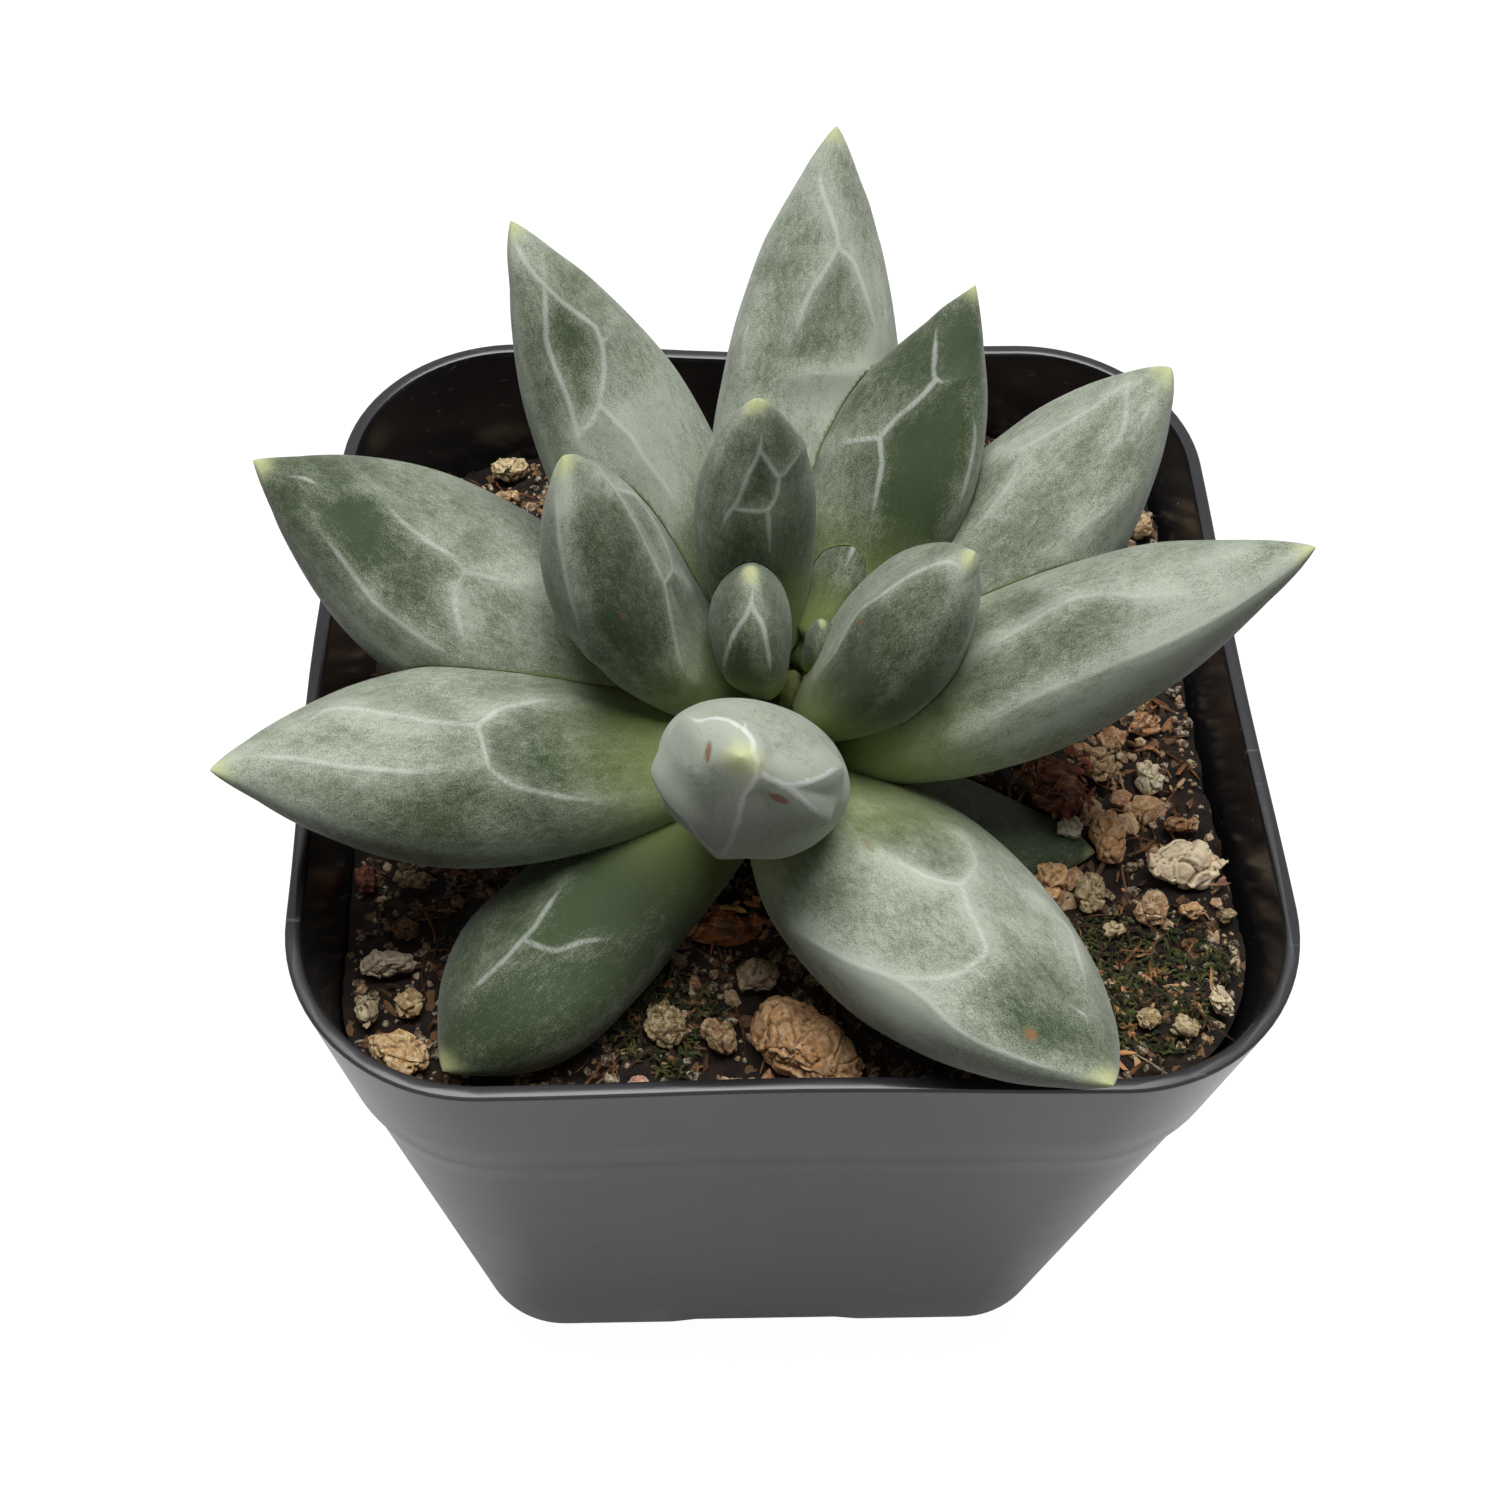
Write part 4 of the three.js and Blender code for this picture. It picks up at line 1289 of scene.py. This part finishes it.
def leaf_frame(row):
    """A leaf's foot, and its directions along, across and over."""
    heading, rise, _, _, _, roll, _, reach, height, _, _, _ = row
    a, e, r = (math.radians(v) for v in (heading, rise, roll))
    along = np.array((math.cos(a) * math.cos(e), math.sin(a) * math.cos(e), math.sin(e)))
    over = np.array((-math.cos(a) * math.sin(e), -math.sin(a) * math.sin(e), math.cos(e)))
    side = np.cross(over, along)
    over = over * math.cos(r) + side * math.sin(r)
    side = np.cross(over, along)
    foot_x = STEM_X + reach * MM * math.cos(a)
    foot_y = STEM_Y + reach * MM * math.sin(a)
    foot = np.array((foot_x, foot_y, SOIL_TOP + height * MM))
    return foot, along, side, over


def leaf_girth(row, t):
    """Share of the leaf's full girth at each share t of its length; its foot is rounded off."""
    widest, tip = row[9], row[10]
    rising = 0.5 + 0.5 * np.sin(np.pi / 2 * np.minimum(t / widest, 1))
    beyond = np.clip((t - widest) / (1 - widest), 0, 1)
    falling = np.maximum(1 - beyond**2, 0) ** tip
    foot = np.sqrt(np.clip(1 - (1 - np.minimum(t / 0.06, 1)) ** 2, 0, 1))
    return np.where(t < widest, rising, falling) * foot


def leaf_skin(row, t, angle):
    """Places on a leaf's plain skin in its own directions: along, across and over."""
    length, width, thick, bow = row[2], row[3], row[4], row[6]
    girth = leaf_girth(row, t)
    share = np.where(np.sin(angle) > 0, UPPER_SHARE, LOWER_SHARE)
    return (
        np.stack(
            (
                (length - 0.1) * t,
                width / 2 * girth * np.cos(angle),
                thick * girth * np.sin(angle) * share,
            ),
            axis=1,
        )
        * MM,
        bow * 4 * t * (1 - t) * MM,
    )


def line_distance(points, strokes, fade=0.0):
    """Distance of each point from the nearest of the strokes, each a run of places.
    fade is added at a stroke's free ends, so that its line thins out there."""
    nearest = np.full(len(points), 12 * MM)
    for stroke in strokes:
        thin = np.zeros(len(stroke))
        run = np.minimum(np.arange(len(stroke)), 6) / 6
        for way, end in ((1, stroke[0]), (-1, stroke[-1])):
            others = [other for other in strokes if other is not stroke]
            if not any(np.linalg.norm(other - end, axis=1).min() < 0.4 * MM for other in others):
                thin = np.maximum(thin, fade * (1 - run[::way]))
        for k, (a, b) in enumerate(zip(stroke[:-1], stroke[1:])):
            step = b - a
            share = np.clip(((points - a) @ step) / max(step @ step, 1e-12), 0, 1)
            gap = np.linalg.norm(points - a - share[:, None] * step, axis=1)
            nearest = np.minimum(nearest, gap + thin[k] + share * (thin[k + 1] - thin[k]))
    return nearest


def smooth_stroke(row, stroke):
    """A stroke's places on the skin, with its corners rounded."""
    t = np.array([p[0] for p in stroke])
    angle = np.unwrap(np.radians([p[1] for p in stroke]))
    knots = np.arange(len(stroke))
    fine = np.linspace(0, len(stroke) - 1, 6 * (len(stroke) - 1) + 1)
    t = np.interp(fine, knots, t)
    angle = np.interp(fine, knots, angle)
    soften = np.array((0.1, 0.2, 0.4, 0.2, 0.1))
    t[2:-2] = np.convolve(t, soften, "valid")
    angle[2:-2] = np.convolve(angle, soften, "valid")
    return leaf_skin(row, t, angle)[0]


def inside_face(t, angle, corners):
    """Which places lie between a face's corners."""
    inside = np.zeros(len(t), bool)
    for turn in (-360, 0, 360):
        around = np.degrees(angle) + turn
        crossed = np.zeros(len(t), bool)
        for (t1, a1), (t2, a2) in zip(corners, corners[1:] + corners[:1]):
            level = t1 + (around - a1) / ((a2 - a1) or 1e-9) * (t2 - t1)
            crossed ^= ((a1 > around) != (a2 > around)) & (t < level)
        inside |= crossed
    return inside


def add_leaf(name, rings, grow):
    """A leaf's closed mesh, shaped from a ball; grow swells it, for cutting its neighbours."""
    row = LEAVES[name]
    deselect()
    bpy.ops.mesh.primitive_uv_sphere_add(segments=rings, ring_count=rings, radius=1)
    leaf = bpy.context.object
    leaf.name = name.replace("leaf", "plump_leaf")
    count = len(leaf.data.vertices)
    ball = np.empty(count * 3)
    leaf.data.vertices.foreach_get("co", ball)
    ball = ball.reshape(-1, 3)
    t = np.clip((1 + ball[:, 2]) / 2, 0, 1)
    angle = np.arctan2(ball[:, 1], ball[:, 0])
    skin, sag = leaf_skin(row, t, angle)
    strokes = [smooth_stroke(row, stroke) for stroke in PRESSED_LINES.get(name, [])]
    gap = line_distance(skin, strokes, END_FADE)
    hollow = FACE_HOLLOW * (1 - np.exp(-((gap / LINE_REACH) ** 2))) * np.exp(-((gap / (6 * MM)) ** 2))
    hollow *= PRESS_DEPTH.get(name, 1.0)
    # Painted highlight: the leaf's side margins are made paler, standing in for the rim of light along its
    # edges; the rest is its wax.
    wax_and_painted_light = row[11] + RIM_LIGHT_PAINT * np.clip(4 * t - 1, 0, 1) * np.exp(-((skin[:, 2] / RIM_LIGHT_WIDTH) ** 2))
    for corners in BARE_FACES.get(name, []):
        edge = line_distance(skin, [smooth_stroke(row, corners + corners[:1])])
        wax_and_painted_light -= BARE_WAX * inside_face(t, angle, corners) * np.clip(edge / (0.9 * MM), 0, 1)
    ridge = LINE_RISE * np.exp(-((gap / LINE_WIDTH) ** 2))
    own_start = Vector((len(name) + row[0], 0, 0))
    wander = np.array([noise.noise(Vector(p) / (5 * MM) + own_start) for p in skin])
    radius = np.linalg.norm(skin[:, 1:], axis=1)
    sink = (hollow - ridge + SKIN_WANDER * (wander + 0.6)) * np.clip(radius / (2.5 * MM), 0, 1) - grow
    shrink = 1 - sink / np.maximum(radius, 1e-6)
    foot, along, side, over = leaf_frame(row)
    reach = skin[:, 0] + grow * (2 * t - 1)
    place = (
        foot
        + reach[:, None] * along
        + (skin[:, 1] * shrink)[:, None] * side
        + (skin[:, 2] * shrink - sag)[:, None] * over
    )
    leaf.data.vertices.foreach_set("co", place.ravel())
    for patch_t, patch_angle, radius_mm, amount in WAX_PATCHES.get(name, []):
        middle = leaf_skin(row, np.array([patch_t]), np.array([math.radians(patch_angle)]))[0][0]
        wax_and_painted_light += amount * np.exp(-((np.linalg.norm(skin - middle, axis=1) / (0.65 * radius_mm * MM)) ** 2))
    scar = np.zeros(count)
    for spot_t, spot_angle, long_radius, short_radius, turn, depth in SCARS.get(name, []):
        around = math.radians(spot_angle)
        spot, next_along, next_round = leaf_skin(
            row, np.array((spot_t, spot_t + 0.002, spot_t)), np.array((around, around, around + 0.02))
        )[0]
        way_along = (next_along - spot) / np.linalg.norm(next_along - spot)
        way_round = (next_round - spot) / np.linalg.norm(next_round - spot)
        lean = math.radians(turn)
        away = skin - spot
        u = away @ (way_along * math.cos(lean) + way_round * math.sin(lean))
        v = away @ (way_round * math.cos(lean) - way_along * math.sin(lean))
        w = away @ np.cross(way_along, way_round)
        size = np.sqrt((u / long_radius) ** 2 + (v / short_radius) ** 2 + (w / long_radius) ** 2) / MM
        scar = np.maximum(scar, depth * np.clip(2 * (1.2 - size), 0, 1))
    from_tip = row[2] * (1 - t) * (40 / row[2]) ** 0.7
    for attribute, value in (
        ("line_gap", gap / MM),
        ("share", t),
        ("from_tip", from_tip),
        ("bloom_and_painted_light", wax_and_painted_light),
        ("scar", scar),
        ("line_wax", np.full(count, LINE_WAX.get(name, PLAIN_LINE_WAX))),
    ):
        layer = leaf.data.attributes.new(attribute, "FLOAT", "POINT")
        layer.data.foreach_set("value", value.astype(np.float32))
    layer = leaf.data.attributes.new("leaf_place", "FLOAT_VECTOR", "POINT")
    shifted = skin / MM + np.array((0, 0, 40.0 * list(LEAVES).index(name)))
    layer.data.foreach_set("vector", shifted.astype(np.float32).ravel())
    leaf.data.shade_smooth()
    return leaf


# Leaf flesh under a thick powdery wax bloom: grey green, paler along the pressed lines, with a painted pale
# rim of light along its margins, darker green where the wax is thin, and lime at the foot where the flesh
# is young.
waxy_leaf, shader = new_material("glaucous_waxy_leaf")
spot = add_node(waxy_leaf, "ShaderNodeAttribute", attribute_name="leaf_place").outputs["Vector"]
gap, share, from_tip, bloom_and_painted_light, line_wax, scar = (
    add_node(waxy_leaf, "ShaderNodeAttribute", attribute_name=name).outputs["Fac"]
    for name in ("line_gap", "share", "from_tip", "bloom_and_painted_light", "line_wax", "scar")
)
drawn_out = add_node(waxy_leaf, "ShaderNodeMapping", {"Vector": spot, "Scale": (0.5, 1.0, 1.0)})
patches = add_node(
    waxy_leaf,
    "ShaderNodeTexNoise",
    {"Vector": spot, "Scale": 0.22, "Detail": 5.0, "Roughness": 0.6, "Distortion": 0.4},
)
rubs = add_node(
    waxy_leaf,
    "ShaderNodeTexNoise",
    {"Vector": drawn_out.outputs[0], "Scale": 2.2, "Detail": 8.0, "Roughness": 0.74, "Distortion": 0.5},
)
grains = add_node(
    waxy_leaf, "ShaderNodeTexNoise", {"Vector": spot, "Scale": 11.0, "Detail": 4.0, "Roughness": 0.75}
)
wobble = add_node(
    waxy_leaf,
    "ShaderNodeMapRange",
    {"Value": rubs.outputs["Fac"], "From Min": 0.3, "From Max": 0.7, "To Min": -0.12, "To Max": 0.12},
)
torn_gap = add_node(waxy_leaf, "ShaderNodeMath", {0: gap, 1: wobble.outputs[0]}, operation="ADD")
# Wax lies thickest on the pressed lines and thins over the faces between them.
line = add_node(
    waxy_leaf,
    "ShaderNodeMapRange",
    {"Value": torn_gap.outputs[0], "From Min": 0.28, "From Max": 0.04, "To Min": 0.0, "To Max": 1.0},
    interpolation_type="SMOOTHSTEP",
)
halo = add_node(
    waxy_leaf,
    "ShaderNodeMapRange",
    {"Value": torn_gap.outputs[0], "From Min": 2.4, "From Max": 0.2, "To Min": 0.0, "To Max": 1.0},
    interpolation_type="SMOOTHSTEP",
)
patch_wax = add_node(
    waxy_leaf,
    "ShaderNodeMapRange",
    {"Value": patches.outputs["Fac"], "From Min": 0.34, "From Max": 0.66, "To Min": -0.16, "To Max": 0.16},
)
rub_wax = add_node(
    waxy_leaf,
    "ShaderNodeMapRange",
    {"Value": rubs.outputs["Fac"], "From Min": 0.3, "From Max": 0.7, "To Min": -0.24, "To Max": 0.24},
)
grain_wax = add_node(
    waxy_leaf,
    "ShaderNodeMapRange",
    {"Value": grains.outputs["Fac"], "From Min": 0.3, "From Max": 0.7, "To Min": -0.42, "To Max": 0.42},
)
wax_a = add_node(waxy_leaf, "ShaderNodeMath", {0: bloom_and_painted_light, 1: patch_wax.outputs[0]}, operation="ADD")
wax_b = add_node(waxy_leaf, "ShaderNodeMath", {0: wax_a.outputs[0], 1: rub_wax.outputs[0]}, operation="ADD")
wax_c = add_node(
    waxy_leaf, "ShaderNodeMath", {0: wax_b.outputs[0], 1: grain_wax.outputs[0]}, operation="ADD"
)
wax_and_painted_light = add_node(
    waxy_leaf, "ShaderNodeMath", {0: halo.outputs[0], 1: 0.2, 2: wax_c.outputs[0]}, operation="MULTIPLY_ADD"
)
flesh = add_node(waxy_leaf, "ShaderNodeValToRGB", {"Fac": wax_and_painted_light.outputs[0]})
flesh.color_ramp.elements[0].position = 0.0
flesh.color_ramp.elements[0].color = linear(0x354325)
flesh.color_ramp.elements[1].position = 1.0
flesh.color_ramp.elements[1].color = linear(0xB9C1B0)
middle = flesh.color_ramp.elements.new(0.5)
middle.color = linear(0x808974)
lined = add_node(waxy_leaf, "ShaderNodeMix", {6: flesh.outputs[0], 7: linear(0xE0E5DE)}, data_type="RGBA")
uneven = add_node(
    waxy_leaf,
    "ShaderNodeMapRange",
    {"Value": patches.outputs["Fac"], "From Min": 0.35, "From Max": 0.62, "To Min": 0.6, "To Max": 1.0},
)
uneven_line = add_node(
    waxy_leaf, "ShaderNodeMath", {0: line.outputs[0], 1: uneven.outputs[0]}, operation="MULTIPLY"
)
line_part = add_node(
    waxy_leaf, "ShaderNodeMath", {0: uneven_line.outputs[0], 1: line_wax}, operation="MULTIPLY"
)
waxy_leaf.node_tree.links.new(line_part.outputs[0], lined.inputs[0])
foot_part = add_node(
    waxy_leaf,
    "ShaderNodeMapRange",
    {"Value": share, "From Min": 0.5, "From Max": 0.1, "To Min": 0.0, "To Max": 0.85},
    interpolation_type="SMOOTHSTEP",
)
footed = add_node(
    waxy_leaf,
    "ShaderNodeMix",
    {0: foot_part.outputs[0], 6: lined.outputs[2], 7: linear(0x8E9C58)},
    data_type="RGBA",
)
tip_part = add_node(
    waxy_leaf,
    "ShaderNodeMapRange",
    {"Value": from_tip, "From Min": 1.7, "From Max": 0.2, "To Min": 0.0, "To Max": 0.65},
    interpolation_type="SMOOTHSTEP",
)
tipped = add_node(
    waxy_leaf,
    "ShaderNodeMix",
    {0: tip_part.outputs[0], 6: footed.outputs[2], 7: linear(0xD0D396)},
    data_type="RGBA",
)
scarred = add_node(
    waxy_leaf, "ShaderNodeMix", {0: scar, 6: tipped.outputs[2], 7: linear(0x8A6038)}, data_type="RGBA"
)
powder = add_node(
    waxy_leaf, "ShaderNodeBump", {"Height": grains.outputs["Fac"], "Strength": 0.6, "Distance": 0.1 * MM}
)
wrinkled = add_node(
    waxy_leaf,
    "ShaderNodeBump",
    {"Height": rubs.outputs["Fac"], "Strength": 0.25, "Distance": 0.12 * MM, "Normal": powder.outputs[0]},
)
set_inputs(
    waxy_leaf,
    shader,
    {
        "Base Color": scarred.outputs[2],
        "Normal": wrinkled.outputs[0],
        "Roughness": 0.5,
        "IOR": 1.45,
        "Specular IOR Level": 0.3,
        "Subsurface Weight": 0.15,
        "Subsurface Radius": (0.6, 1.0, 0.35),
        "Subsurface Scale": 1.2 * MM,
        "Sheen Weight": 0.22,
        "Sheen Roughness": 0.4,
    },
)

LEAF_GAP = 0.08 * MM
deselect()
bpy.ops.mesh.primitive_cone_add(
    vertices=40,
    radius1=3.15 * MM,
    radius2=1.15 * MM,
    depth=stem_high.z - stem_low.z,
    location=STEM_MIDDLE,
)
stem_former = bpy.context.object
bpy.ops.object.transform_apply(location=True, rotation=True, scale=True)
formers = [stem_former]


def boxes_meet(a, b):
    """True where the boxes of two pieces meet."""
    low_a, high_a = (Vector(f(v[i] for v in a.bound_box) for i in range(3)) for f in (min, max))
    low_b, high_b = (Vector(f(v[i] for v in b.bound_box) for i in range(3)) for f in (min, max))
    return all(low_a[i] <= high_b[i] and low_b[i] <= high_a[i] for i in range(3))


for name, row in LEAVES.items():
    rings = LONG_LEAF_RINGS if row[2] > LONG_LEAF else SHORT_LEAF_RINGS
    leaf = add_leaf(name, rings, 0)
    for former in formers:
        if boxes_meet(leaf, former):
            cut_away(leaf, former, keep_cutter=True)
    leaf.data.set_sharp_from_angle(angle=math.radians(55))
    finish_in(leaf, waxy_leaf)
    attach(leaf, "root")
    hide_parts(name)
    formers.append(add_leaf(name, FORMER_RINGS, LEAF_GAP))
for former in formers:
    bpy.data.objects.remove(former)
